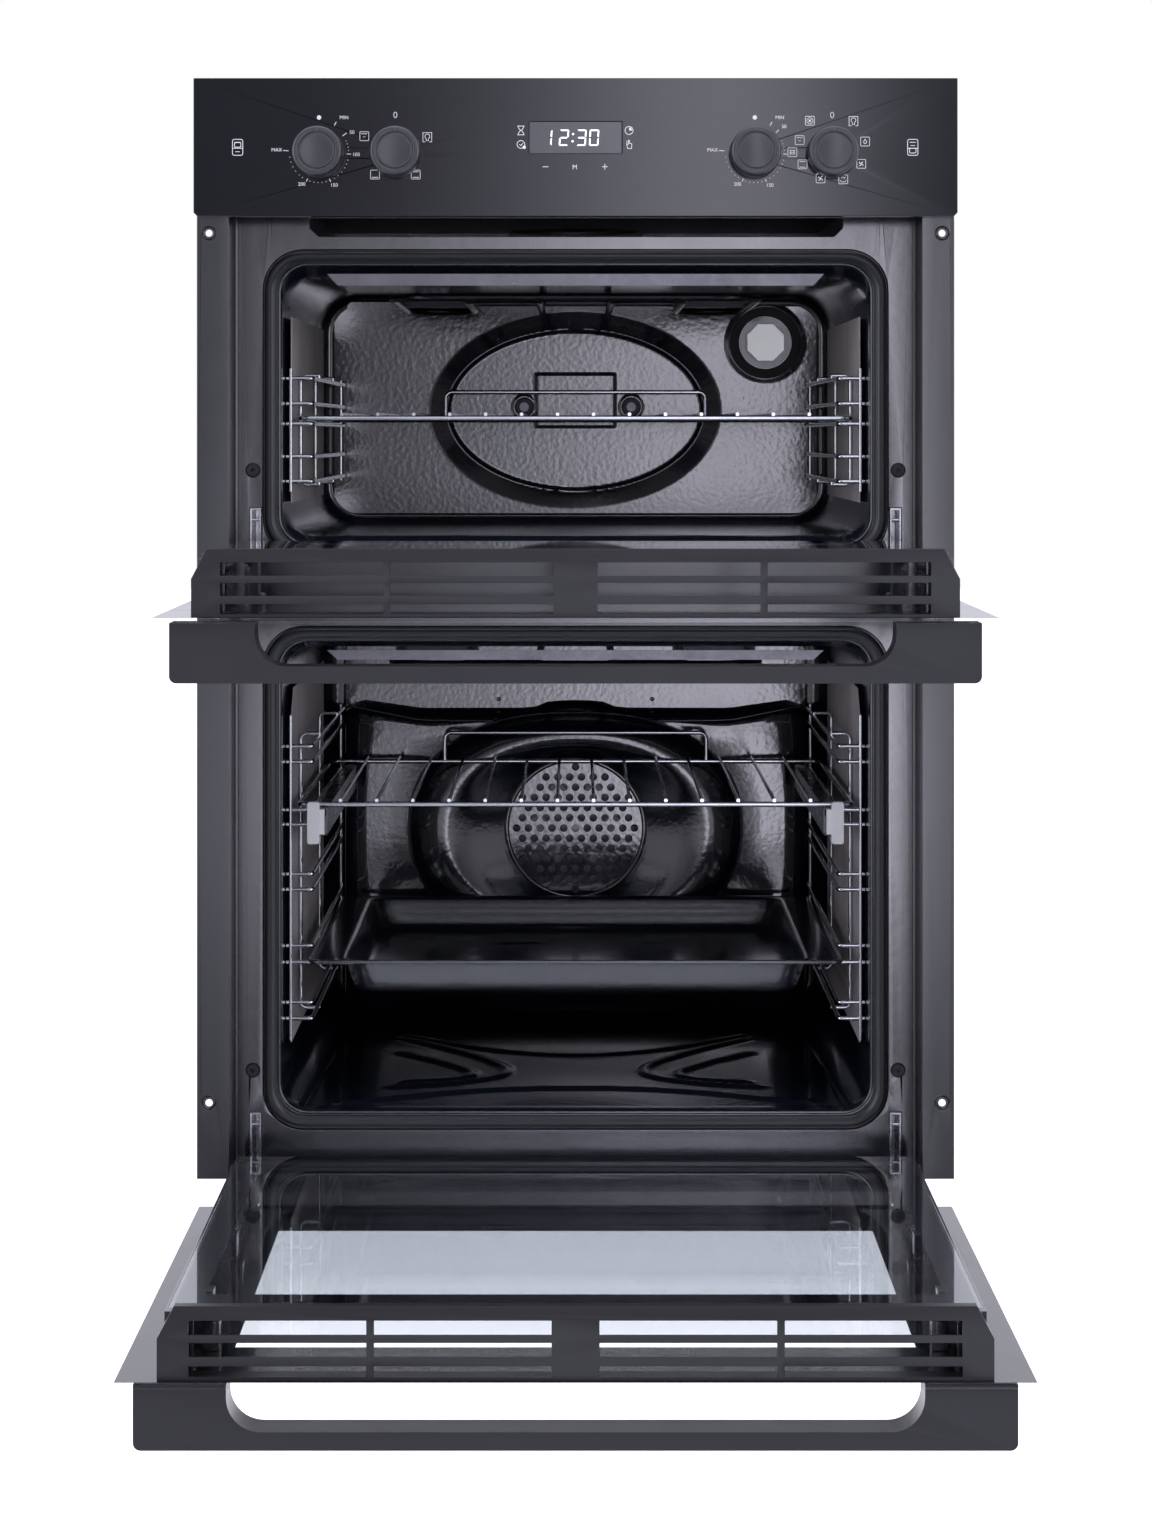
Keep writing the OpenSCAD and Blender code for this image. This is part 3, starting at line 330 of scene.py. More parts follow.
M["tray_enamel"] = surface("tray_enamel", (0.008, 0.0092, 0.0145), (0.011, 0.0122, 0.018), 0.21, 0.04, coat=0.6,
                           coat_rough=0.09, spec=0.85, ior=1.75, patch=6, grain=420, grain_bump=0.05, wave=0.3,
                           wave_scale=230, wave_d=0.00026)
M["knob_black"] = surface("knob_black", (0.034, 0.0345, 0.041), (0.042, 0.0425, 0.049), 0.30, 0.04, coat=0.35,
                          coat_rough=0.15, spec=0.8, patch=30, grain=1600, grain_bump=0.10)
# painted light: the printed fascia marks glow faintly though they are print and no lamp
M["mark_white"] = glow("mark_white", (0.82, 0.82, 0.85), 0.35)
M["digit_white"] = glow("digit_white", (1.0, 1.0, 1.0), 1.1)
_lens = M["lamp_glass"].node_tree
_face = next(n for n in _lens.nodes if n.type == "BSDF_PRINCIPLED")
_lens.links.new(_face.inputs["Base Color"].links[0].from_socket, _face.inputs["Emission Color"])
_face.inputs["Emission Strength"].default_value = 0.26

SLOT = {s["node"]: s["material_slot"] for s in frame["record"]["subparts"]}


def set_mat(o, mat):
    o.data.materials.clear()
    o.data.materials.append(M[mat])


for name, o in NODES.items():
    set_mat(o, SLOT[name])


def dress(name, width=0.4, segments=2, angle=32):
    """Rolls the sharp edges of a carried-over node and evens its shading."""
    o = NODES[name]
    me = o.data
    me.shade_smooth()
    w = o.modifiers.new("weld", "WELD")
    w.merge_threshold = 0.00002
    if width:
        b = o.modifiers.new("edge", "BEVEL")
        b.width = width / 1000
        b.segments = segments
        b.limit_method = "ANGLE"
        b.angle_limit = math.radians(angle)
        b.use_clamp_overlap = True
    n = o.modifiers.new("normals", "WEIGHTED_NORMAL")
    n.keep_sharp = False
    n.weight = 60


for n, wd in {
    "side_trim_left": 0.5, "side_trim_right": 0.5, "front_frame": 0.7, "control_fascia": 0.9,
    "upper_rails": 0.4, "lower_rails": 0.4, "upper_cap": 0.7, "lower_cap": 0.7, "upper_handle": 1.6,
    "lower_handle": 1.6, "hinge_receivers": 0.3, "hinge_claws": 0.4, "upper_hinges": 0.4, "lower_hinges": 0.4,
    "runner_stops": 1.0, "runner_rails": 0.3, "runner_middles": 0.3, "runner_slides": 0.3,
    "upper_outer_glass": 0.5, "lower_outer_glass": 0.5, "upper_inner_glass": 0.4, "lower_inner_glass": 0.4,
    "lower_middle_glass": 0.4, "side_panel_left": 0.25, "side_panel_right": 0.25, "top_cover": 0.25,
    "rear_panel": 0.25, "base_pan": 0.3, "display_window": 0.3, "terminal_block": 0.6, "lamp_lens": 0.8,
    "lamp_housing": 0.6, "frame_buffers": 0.4, "case_screws": 0.25, "cooling_duct": 0.25, "cooling_motor": 0.5,
    "fan_motor": 0.5, "fan_wheel": 0.3, "cooling_rotor": 0.2, "knob_switches": 0.4, "insulation": 3.0,
    "catalytic_liners": 0.2, "upper_grill": 0.3, "lower_grill": 0.3,
}.items():
    dress(n, wd)

# ------------------------------------------------------------------ mesh helpers


def make(name, verts, faces, mat, body, slot=None, smooth=True, angle=38, solid=0.0, offset=-1.0, replaces=(),
         levels=0, placed=False, flip=False):
    me = bpy.data.meshes.new(name)
    me.from_pydata([Vector(v) for v in verts] if placed else [P(*v) for v in verts], [], faces)
    me.validate()
    bm = bmesh.new()
    bm.from_mesh(me)
    bmesh.ops.remove_doubles(bm, verts=bm.verts, dist=1e-6)
    if flip:
        bmesh.ops.reverse_faces(bm, faces=bm.faces)
    bm.to_mesh(me)
    bm.free()
    me.update()
    o = bpy.data.objects.new(name, me)
    bpy.context.scene.collection.objects.link(o)
    me.materials.append(M[mat])
    if levels:
        s = o.modifiers.new("sub", "SUBSURF")
        s.levels = s.render_levels = levels
    if solid:
        s = o.modifiers.new("wall", "SOLIDIFY")
        s.thickness = solid / 1000
        s.offset = offset
    if smooth:
        me.shade_smooth()
        if angle:
            me.set_sharp_from_angle(angle=math.radians(angle))
    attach(o, body)
    if replaces:
        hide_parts(*replaces)
    return o


def ring_xz(y, hx, z0, z1, r, n=8, cx=0.0):
    """Points of a rounded rectangle in the plane at depth y."""
    pts = []
    r = max(0.3, min(r, hx, (z1 - z0) / 2))
    for q, (sx, cz) in enumerate(((1, z1 - r), (-1, z1 - r), (-1, z0 + r), (1, z0 + r))):
        for i in range(n + 1):
            a = math.radians(90 * q + 90 * i / n)
            pts.append((cx + sx * (hx - r) + r * math.cos(a), y, cz + r * math.sin(a)))
    return pts


def ring_xy(z, hx, y0, y1, r, n=8):
    pts = []
    r = max(0.3, r)
    for q, (sx, cy) in enumerate(((1, y1 - r), (-1, y1 - r), (-1, y0 + r), (1, y0 + r))):
        for i in range(n + 1):
            a = math.radians(90 * q + 90 * i / n)
            pts.append((sx * (hx - r) + r * math.cos(a), cy + r * math.sin(a), z))
    return pts


def subdivide_ring(pts, step=30.0):
    """Adds points along the long sides so that shading stays even."""
    out = []
    for i, p in enumerate(pts):
        q = pts[(i + 1) % len(pts)]
        out.append(p)
        d = math.dist(p, q)
        k = int(d // step)
        for j in range(1, k + 1):
            t = j / (k + 1)
            out.append(tuple(a + (b - a) * t for a, b in zip(p, q)))
    return out


def loft(rings, close=True, cap_end=False, cap_start=False):
    n = len(rings[0])
    verts = [p for r in rings for p in r]
    faces = []
    for k in range(len(rings) - 1):
        for i in range(n if close else n - 1):
            j = (i + 1) % n
            faces.append((k * n + i, k * n + j, (k + 1) * n + j, (k + 1) * n + i))
    if cap_start:
        faces.append(tuple(range(n)))
    if cap_end:
        faces.append(tuple(reversed(range((len(rings) - 1) * n, len(rings) * n))))
    return verts, faces


def merge(parts):
    verts, faces = [], []
    for v, f in parts:
        k = len(verts)
        verts += v
        faces += [tuple(i + k for i in face) for face in f]
    return verts, faces


def box_part(x0, x1, y0, y1, z0, z1):
    v = [(x, y, z) for x in (x0, x1) for y in (y0, y1) for z in (z0, z1)]
    f = [(0, 1, 3, 2), (4, 6, 7, 5), (0, 4, 5, 1), (2, 3, 7, 6), (0, 2, 6, 4), (1, 5, 7, 3)]
    return v, f


def lathe_y(profile, cx, cz, n=96, close_first=True, close_last=True):
    """profile: (radius, y) from the back to the front axis."""
    verts, faces = [], []
    for r, y in profile:
        for i in range(n):
            a = 2 * math.pi * i / n
            verts.append((cx + r * math.cos(a), y, cz + r * math.sin(a)))
    for k in range(len(profile) - 1):
        for i in range(n):
            j = (i + 1) % n
            faces.append((k * n + i, (k + 1) * n + i, (k + 1) * n + j, k * n + j))
    if close_first:
        faces.append(tuple(range(n)))
    if close_last:
        m = (len(profile) - 1) * n
        faces.append(tuple(m + i for i in reversed(range(n))))
    return verts, faces


def plate_with_holes(outline, holes, y0, y1):
    """A flat plate between depths y0 and y1, from an outline and holes in x and z, by a filled curve."""
    cu = bpy.data.curves.new("tmp", "CURVE")
    cu.dimensions = "2D"
    cu.fill_mode = "BOTH"
    for loop in [outline] + list(holes):
        s = cu.splines.new("POLY")
        s.points.add(len(loop) - 1)
        for p, (x, z) in zip(s.points, loop):
            p.co = (x, z, 0, 1)
        s.use_cyclic_u = True
    cu.extrude = abs(y1 - y0) / 2
    o = bpy.data.objects.new("tmp", cu)
    bpy.context.scene.collection.objects.link(o)
    dg = bpy.context.evaluated_depsgraph_get()
    me = bpy.data.meshes.new_from_object(o.evaluated_get(dg))
    mid = (y0 + y1) / 2
    verts = [(v.co.x, mid - v.co.z, v.co.y) for v in me.vertices]
    faces = [tuple(p.vertices) for p in me.polygons]
    bpy.data.objects.remove(o)
    bpy.data.curves.remove(cu)
    bpy.data.meshes.remove(me)
    return verts, faces


def circle_pts(cx, cz, r, n=20, a0=0.0):
    return [(cx + r * math.cos(2 * math.pi * i / n + a0), cz + r * math.sin(2 * math.pi * i / n + a0)) for i in range(n)]


def smooth01(t):
    t = np.clip(t, 0, 1)
    return t * t * (3 - 2 * t)


def height_grid(us, vs, point, height):
    """A grid of points given by point(u, v, h) with h from height(U, V)."""
    U, V = np.meshgrid(us, vs, indexing="ij")
    H = height(U, V)
    verts = [point(U[i, j], V[i, j], H[i, j]) for i in range(len(us)) for j in range(len(vs))]
    m = len(vs)
    faces = [(i * m + j, (i + 1) * m + j, (i + 1) * m + j + 1, i * m + j + 1)
             for i in range(len(us) - 1) for j in range(m - 1)]
    return verts, faces


# ------------------------------------------------------------------ cavities


def cavity_shell(d, name):
    o0, o1 = OPEN_Z[d]
    c0, c1 = CAV_Z[d]
    yb = BACK_Y[d]
    R = 8.0 if d == 1 else 18.0
    rows = [
        (0.3, 236.4, o0 - 2.4, o1 + 2.4, 24.4),
        (-0.5, 236.2, o0 - 2.2, o1 + 2.2, 24.2),
        (-1.0, 235.6, o0 - 1.6, o1 + 1.6, 23.6),
        (-1.1, 234.9, o0 - 0.9, o1 + 0.9, 22.9),
        (-0.7, 234.2, o0 - 0.2, o1 + 0.2, 22.2),
        (0.2, 233.8, o0 + 0.2, o1 - 0.2, 21.8),
        (2.0, 233.6, o0 + 0.4, o1 - 0.4, 21.6),
        (11.0, 233.5, o0 + 0.5, o1 - 0.5, 21.5),
        (15.0, 233.5, o0 + (c0 - o0) * 0.2 + 0.4, o1 - (o1 - c1) * 0.2 - 0.4, 21.6),
        (20.0, 233.6, o0 + (c0 - o0) * 0.75 + 0.2, o1 - (o1 - c1) * 0.75 - 0.2, 21.8),
        (27.0, 233.6, c0, c1, 22.0),
        (60.0, 233.3, c0, c1, 23.0),
        ((60 + yb) / 2, 231.9, c0, c1, 28.0),
        (yb - R - 20, 230.7, c0, c1, 33.0),
    ]
    for i in range(9):
        a = math.radians(90 * i / 8)
        e = R * (1 - math.cos(a))
        rows.append((yb - R + R * math.sin(a), 230.5 - e, c0 + e, c1 - e, 34.0 - e))
    rings = [subdivide_ring(ring_xz(*r, n=8), 34.0) for r in rows]
    n = len(subdivide_ring(ring_xz(*rows[13], n=8), 34.0))
    # every ring takes the same number of points along its sides
    def fixed(row):
        pts = ring_xz(*row, n=8)
        out = []
        for i, p in enumerate(pts):
            q = pts[(i + 1) % len(pts)]
            out.append(p)
            if i % 9 == 8:
                k = 12
                for j in range(1, k):
                    t = j / k
                    out.append(tuple(a + (b - a) * t for a, b in zip(p, q)))
        return out
    rings = [fixed(r) for r in rows]
    return loft(rings)


OVAL_C = 633.0


def upper_back_height(X, Z):
    z = Z - OVAL_C
    eo = np.sqrt((X / 133.0) ** 2 + (z / 90.0) ** 2)
    ei = np.sqrt((X / 115.0) ** 2 + (z / 71.5) ** 2)
    t = np.where((eo < 1) & (ei > 1), (1 - eo) / np.maximum(1e-6, (1 - eo) + (ei - 1)), np.where(ei <= 1, 1.0, 0.0))
    inside = (eo < 1) & (ei > 1)
    h = -4.2 * np.where(inside, np.minimum(t / 0.88, (1 - t) / 0.12), 0.0)
    # raised rectangle in the middle, and a rim round the lamp
    rx = 37.0 - np.abs(X)
    rz = 25.0 - np.abs(Z - 642.0)
    edge = np.minimum(rx, rz)
    h = h - 1.3 * smooth01(edge / 1.6)
    r = np.sqrt((X - 174.0) ** 2 + (Z - 695.0) ** 2)
    h = h - 1.2 * smooth01((36.5 - r) / 2.2) * (r > 20)
    for sx in (-47.0, 51.0):
        rr = np.sqrt((X - sx) ** 2 + (Z - 636.0) ** 2)
        h = h - 0.9 * smooth01((11.0 - rr) / 1.6) * smooth01((rr - 8.2) / 1.0)
    return h


def flat_height(X, Z):
    return X * 0.0


us = np.linspace(-222.4, 222.4, 310)
vs = np.linspace(537.6, 729.4, 136)
back = height_grid(us, vs, lambda x, z, h: (x, 399.95 + h, z), upper_back_height)
shell = cavity_shell(1, "upper")
make("upper_cavity_shell", *merge([shell]), "cavity_enamel", "housing", "cavity_enamel", solid=0.9, offset=-1.0,
     replaces=["upper_cavity"], angle=60)
make("upper_back_wall", *back, "cavity_enamel", "housing", "cavity_enamel", solid=0.8, offset=-1.0, angle=70, flip=False)

# bracket plate at the top left of the back wall
br_out = [(-209, 716.5), (-209, 729), (-206, 732), (-118, 732), (-115, 729), (-115, 716.5), (-119, 714), (-196, 714), (-200, 716.5)]
br = plate_with_holes(br_out, [circle_pts(-203, 724.5, 1.7, 16), circle_pts(-121, 724.5, 1.7, 16)], 396.4, 397.6)
make("wall_bracket", *br, "cavity_enamel", "housing", "cavity_enamel", angle=30)


def seg_dist(X, Y, pts):
    best = np.full(X.shape, 1e9)
    for (x0, y0), (x1, y1) in zip(pts[:-1], pts[1:]):
        dx, dy = x1 - x0, y1 - y0
        L = dx * dx + dy * dy
        t = np.clip(((X - x0) * dx + (Y - y0) * dy) / L, 0, 1)
        best = np.minimum(best, np.hypot(X - x0 - t * dx, Y - y0 - t * dy))
    return best


def spline(pts, n=10):
    """A smooth curve through the given points."""
    out = []
    P_ = [pts[0]] + list(pts) + [pts[-1]]
    for k in range(1, len(P_) - 2):
        p0, p1, p2, p3 = (np.array(P_[k + i - 1], float) for i in range(4))
        for i in range(n):
            t = i / n
            out.append(tuple(0.5 * ((2 * p1) + (-p0 + p2) * t + (2 * p0 - 5 * p1 + 4 * p2 - p3) * t ** 2
                                    + (-p0 + 3 * p1 - 3 * p2 + p3) * t ** 3)))
    out.append(tuple(pts[-1]))
    return out


FLOOR_RIDGES = [
    spline([(-150, 300), (-108, 252), (-70, 196), (-58, 160), (-68, 130), (-104, 106), (-150, 92)], 6),
    spline([(-150, 236), (-112, 192), (-90, 158), (-88, 138), (-102, 122), (-140, 112)], 6),
    spline([(-186, 26), (-120, 62), (-60, 82), (0, 88), (60, 82), (120, 62), (186, 26)], 6),
    spline([(-150, 318), (-90, 262), (-40, 234), (0, 226), (40, 234), (90, 262), (150, 318)], 6),
]


def floor_height(X, Y):
    h = X * 0.0
    for i, r in enumerate(FLOOR_RIDGES):
        h = np.maximum(h, 2.4 * np.exp(-(seg_dist(X, Y, r) / 4.2) ** 2))
        if i < 2:
            h = np.maximum(h, 2.4 * np.exp(-(seg_dist(-X, Y, r) / 4.2) ** 2))
    return h


us = np.arange(-210, 210.1, 3.0)
vs = np.arange(12, 404.1, 3.0)
fl = height_grid(us, vs, lambda x, y, h: (x, y, 74.25 + h), floor_height)
make("lower_floor_relief", *fl, "cavity_enamel", "housing", "cavity_enamel", angle=70)
shell = cavity_shell(0, "lower")
us = np.arange(-212.4, 212.5, 14.16)
vs = np.linspace(91.0, 424.0, 24)
bw = plate_with_holes([(-212.5, 91.6), (-212.5, 423.4), (212.5, 423.4), (212.5, 91.6)],
                      [circle_pts(-71, 366, 2.2, 16), circle_pts(71, 366, 2.2, 16), circle_pts(0, FAN_Z, 60, 64)], 424.95, 426.2)
make("lower_cavity_shell", *merge([shell]), "cavity_enamel", "housing", "cavity_enamel", solid=0.9, offset=-1.0,
     replaces=["lower_cavity"], angle=60)
make("lower_back_wall", *bw, "cavity_enamel", "housing", "cavity_enamel", angle=30)

# ------------------------------------------------------------------ seals


def seal_mesh(d):
    z0, z1 = SEAL_Z[d]
    rows = []
    for e, y in ((0.9, 1.3), (0.9, -0.6), (1.3, -2.2), (2.2, -3.5), (3.6, -4.3), (5.2, -4.5), (6.8, -4.2), (8.2, -3.4),
                 (9.2, -2.4), (9.8, -1.9), (10.5, -2.1), (11.1, -1.6), (11.3, -0.6), (11.3, 1.3)):
        k = e / 11.3
        ox = SEAL_X - e
        rows.append((y, ox, z0 + e, z1 - e, 32 - e * 0.8))
    rings = []
    for r in rows:
        pts = ring_xz(*r, n=10)
        out = []
        for i, p in enumerate(pts):
            q = pts[(i + 1) % len(pts)]
            out.append(p)
            if i % 11 == 10:
                for j in range(1, 12):
                    t = j / 12
                    out.append(tuple(a + (b - a) * t for a, b in zip(p, q)))
        rings.append(out)
    rings.append(rings[0])
    return loft(rings)


make("upper_door_seal", *seal_mesh(1), "seal_rubber", "housing", "seal_rubber", replaces=["upper_seal"], angle=70)
make("lower_door_seal", *seal_mesh(0), "seal_rubber", "housing", "seal_rubber", replaces=["lower_seal"], angle=70)

# ------------------------------------------------------------------ fan cover
COVER_Y = 402.0
DOME = [(154, 106.5, 0.0), (151, 104, -0.8), (147, 101, -4.5), (142, 97.5, -9.5), (136, 93.5, -13.8), (129, 89, -16.4),
        (121, 84.5, -17.2), (112, 80, -16.6), (100, 75, -14.0), (88, 70.8, -10.2), (77, 67.2, -6.6), (69, 65.0, -4.0),
        (65.4, 64.3, -2.9), (64.2, 64.2, -3.6), (62.4, 62.4, -3.8), (61.4, 61.4, -3.0)]
TOP_FRONT = [(0, 347.2), (82, 347.2), (130, 347.6), (146, 348.6), (205, 360.6), (211, 358.4)]
TOP_BACK = [(0, 364.4), (14, 364), (26, 362.8), (36, 358.6), (48, 357.3), (142, 357.1), (158, 359.4), (196, 364.8), (211, 358.6)]


def interp(tab, x):
    x = abs(x)
    for (a, za), (b, zb) in zip(tab[:-1], tab[1:]):
        if x <= b:
            return za + (zb - za) * (x - a) / (b - a)
    return tab[-1][1]


def super_pt(a, b, th, n):
    c, s = math.cos(th), math.sin(th)
    return (math.copysign(abs(c) ** (2 / n), c) * a, math.copysign(abs(s) ** (2 / n), s) * b)


def fan_cover_mesh():
    N = 180
    # dense profile
    prof = spline(DOME, 4)
    rings = []
    for a, b, y in prof:
        k = min(1.0, max(0.0, (a - 64) / 90.0))
        n = 2.0 + 0.35 * k
        ring = []
        for i in range(N):
            x, z = super_pt(a, b, 2 * math.pi * i / N, n)
            zz = FAN_Z + z
            yy = COVER_Y + y
            # the top of the dome is cut by the flange
            lim = interp(TOP_BACK, x) - (1.2 + 0.0)
            ring.append((x, yy, min(zz, lim + (yy - COVER_Y) * 0.0)))
        rings.append(ring)
    # the flat panel round the dome
    outer = []
    for i in range(N):
        th = 2 * math.pi * i / N
        x, z = super_pt(154, 106.5, th, 2.35)
        dx, dz = x, z
        # run out to the border of the panel
        t_best = 1e9
        for t in np.linspace(1.0, 3.0, 401):
            px, pz = dx * t, FAN_Z + dz * t
            if abs(px) > 210.5 or pz < 82.5 or pz > interp(TOP_FRONT, px):
                t_best = t
                break
        px, pz = dx * t_best, FAN_Z + dz * t_best
        px = max(-210.5, min(210.5, px))
        pz = max(82.5, min(interp(TOP_FRONT, px), pz))
        outer.append((px, COVER_Y, pz))
    mids = []
    for t in (0.33, 0.66):
        mids.append([tuple(a + (b - a) * t for a, b in zip(p, q)) for p, q in zip(rings[0], outer)])
    allr = [outer, mids[1], mids[0]] + rings
    return loft(allr)


fc = fan_cover_mesh()
# the flange along the top, back to the wall
xs = np.concatenate([np.linspace(-211, -150, 12), np.linspace(-145, -40, 16), np.linspace(-36, 36, 15), np.linspace(40, 145, 16), np.linspace(150, 211, 12)])
rows = []
for k in range(7):
    t = k / 6
    row = []
    for x in xs:
        zf = interp(TOP_FRONT, x)
        zb = interp(TOP_BACK, x)
        e = t + 0.0
        row.append((x, COVER_Y + 22.4 * t, zf + (zb - zf) * (t ** 0.8)))
    rows.append(row)
fl_v, fl_f = loft(rows, close=False)
# side walls back to the cavity wall
side_parts = []
for m in (-1, 1):
    zs = np.linspace(82.5, 358.4, 16)
    rws = [[(m * 210.6, COVER_Y + 22.4 * t, z) for z in zs] for t in (0, 0.5, 1)]
    v, f = loft(rws, close=False)
    side_parts.append((v, f))
make("fan_cover_pressing", *merge([fc, (fl_v, fl_f)] + side_parts), "cavity_enamel", "housing", "cavity_enamel",
     solid=0.9, offset=1.0, replaces=["fan_cover"], angle=50)
PITCH, HOLE = 10.8, 3.6
holes = []
for j in range(-8, 9):
    for i in range(-8, 9):
        x = (i + (abs(j) % 2) / 2) * PITCH
        z = j * PITCH * 0.866
        if math.hypot(x, z) < 61.8 - HOLE - 1.2:
            holes.append(circle_pts(x, FAN_Z + z, HOLE, 18))
disc = plate_with_holes(circle_pts(0, FAN_Z, 62.6, 96), holes, COVER_Y - 3.6, COVER_Y - 2.6)
make("fan_cover_grille", *disc, "perforated", "housing", "cavity_enamel", angle=40) if "perforated" in M else \
    make("fan_cover_grille", *disc, "cavity_enamel", "housing", "cavity_enamel", angle=40)

# ------------------------------------------------------------------ tray


def tray_mesh():
    zt = 190.4
    rows = [
        (187.4, 212.8, 21.7, 380.3, 8.4), (187.0, 213.8, 20.7, 381.3, 9.4), (187.8, 214.4, 20.1, 381.9, 10.0),
        (188.9, 214.5, 20.0, 382.0, 10.0), (189.9, 214.1, 20.4, 381.6, 9.7), (190.4, 213.0, 21.5, 380.5, 8.8),
        (190.3, 211.0, 23.2, 378.8, 8.0), (189.6, 208.0, 24.2, 377.8, 8.0), (189.5, 190.0, 24.9, 377.1, 16.0),
        (189.3, 186.6, 25.6, 376.4, 17.5), (188.6, 185.0, 27.0, 375.0, 17.5), (187.2, 184.4, 27.8, 374.2, 17.5),
        (178.0, 181.8, 30.4, 371.6, 18.0), (168.0, 179.0, 33.2, 368.8, 19.0), (165.0, 177.4, 34.8, 367.2, 19.0),
        (163.4, 174.8, 37.4, 364.6, 18.0), (162.8, 170.8, 41.4, 360.6, 16.0), (162.7, 150.0, 62.0, 340.0, 14.0),
        (162.7, 90.0, 120.0, 282.0, 10.0),
    ]

    def fixed(row):
        z, hx, y0, y1, r = row
        pts = ring_xy(z, hx, y0, y1, r, n=10)
        out = []
        for i, p in enumerate(pts):
            q = pts[(i + 1) % len(pts)]
            out.append(p)
            if i % 11 == 10:
                for j in range(1, 10):
                    t = j / 10
                    out.append(tuple(a + (b - a) * t for a, b in zip(p, q)))
        return out
    return loft([fixed(r) for r in rows], cap_end=True)


v, f = tray_mesh()
make("enamel_tray", v, f, "tray_enamel", "tray_body", "tray_enamel", solid=1.1, offset=-1.0, replaces=["baking_tray"],
     angle=60, flip=False)

# ------------------------------------------------------------------ knobs
KNOB_NODES = ["thermostat_knob_upper", "function_knob_upper", "thermostat_knob_lower", "function_knob_lower"]
KNOB_BODIES = ["thermostat_upper", "function_upper", "thermostat_lower", "function_lower"]
back = FRONT_Y - 0.6
for x, node, body in zip(KNOB_X, KNOB_NODES, KNOB_BODIES):
    D = 23.4
    f0 = back - D
    prof = [(17.4, back), (19.1, back), (19.5, back - 0.4), (19.6, back - 1.0), (19.55, back - 9.0), (19.3, f0 + 2.6),
            (19.0, f0 + 1.3), (18.4, f0 + 0.45), (17.5, f0 + 0.05), (16.6, f0), (14.9, f0 + 0.02), (14.35, f0 + 0.25),
            (14.1, f0 + 0.9), (13.85, f0 + 0.9), (13.6, f0 + 0.25), (13.1, f0 + 0.05), (12.2, f0 + 0.1), (8.0, f0 + 0.45),
            (3.0, f0 + 0.6), (0.01, f0 + 0.62)]
    kv, kf = lathe_y(prof, x, KNOB_Z, 112, close_first=True, close_last=False)
    # a raised tick on the rim that shows where the knob points
    tick = box_part(x - 0.55, x + 0.55, f0 - 0.02, f0 + 0.6, KNOB_Z + 14.9, KNOB_Z + 17.4)
    stem = lathe_y([(3.0, 10.0), (3.0, back - 6)], x, KNOB_Z, 32)
    make("knob_" + node, *merge([(kv, kf), stem]), "knob_black", body, "knob_black", replaces=[node], angle=50)
    make("tick_" + node, *tick, "lamp_disc", body, "knob_black", smooth=False)

# ------------------------------------------------------------------ marks on the fascia


def to_xz(px, py, y=FRONT_Y):
    s = 3236.5 / (2569 + y)
    return (px - 575.5) / s, 612 - (py - 433) / s


def text_part(body, x, z, size, y=FRONT_Y - 0.05, spacing=1.0):
    cu = bpy.data.curves.new("t", "FONT")
    cu.body = body
    cu.size = size
    cu.space_character = spacing
    cu.align_x = "CENTER"
    cu.align_y = "CENTER"
    cu.extrude = 0.03
    cu.resolution_u = 4
    o = bpy.data.objects.new("t", cu)
    bpy.context.scene.collection.objects.link(o)
    dg = bpy.context.evaluated_depsgraph_get()
    me = bpy.data.meshes.new_from_object(o.evaluated_get(dg))
    verts = [(x + v.co.x, y - v.co.z, z + v.co.y) for v in me.vertices]
    faces = [tuple(p.vertices) for p in me.polygons]
    bpy.data.objects.remove(o)
    bpy.data.curves.remove(cu)
    bpy.data.meshes.remove(me)
    return verts, faces


def stroke(pts, w=0.45, closed=False, y=FRONT_Y - 0.05, t=0.05):
    """A printed line of width w through points in x and z."""
    pts = [np.array(p, float) for p in pts]
    n = len(pts)
    L, R = [], []
    for i in range(n):
        a = pts[i - 1] if (i > 0 or closed) else None
        c = pts[(i + 1) % n] if (i < n - 1 or closed) else None
        dirs = []
        if a is not None:
            d = pts[i] - a
            dirs.append(d / (np.linalg.norm(d) + 1e-9))
        if c is not None:
            d = c - pts[i]
            dirs.append(d / (np.linalg.norm(d) + 1e-9))
        d = sum(dirs)
        d = d / (np.linalg.norm(d) + 1e-9)
        nrm = np.array([-d[1], d[0]])
        k = 1.0
        if len(dirs) == 2:
            cosang = max(0.35, float(np.dot(nrm, np.array([-dirs[0][1], dirs[0][0]]))))
            k = 1 / cosang
        L.append(pts[i] + nrm * w / 2 * k)
        R.append(pts[i] - nrm * w / 2 * k)
    verts, faces = [], []
    for p, q in zip(L, R):
        for yy in (y - t / 2, y + t / 2):
            verts.append((p[0], yy, p[1]))
            verts.append((q[0], yy, q[1]))
    m = n if closed else n - 1
    for i in range(m):
        a, b = 4 * i, 4 * ((i + 1) % n)
        faces += [(a, b, b + 1, a + 1), (a + 2, a + 3, b + 3, b + 2), (a, a + 2, b + 2, b), (a + 1, b + 1, b + 3, a + 3)]
    if not closed:
        faces += [(0, 1, 3, 2), (4 * n - 4, 4 * n - 2, 4 * n - 1, 4 * n - 3)]
    return verts, faces


def disc_part(x, z, r, y=FRONT_Y - 0.05, t=0.05, n=28):
    return lathe_y([(r, y + t / 2), (r, y - t / 2)], x, z, n)


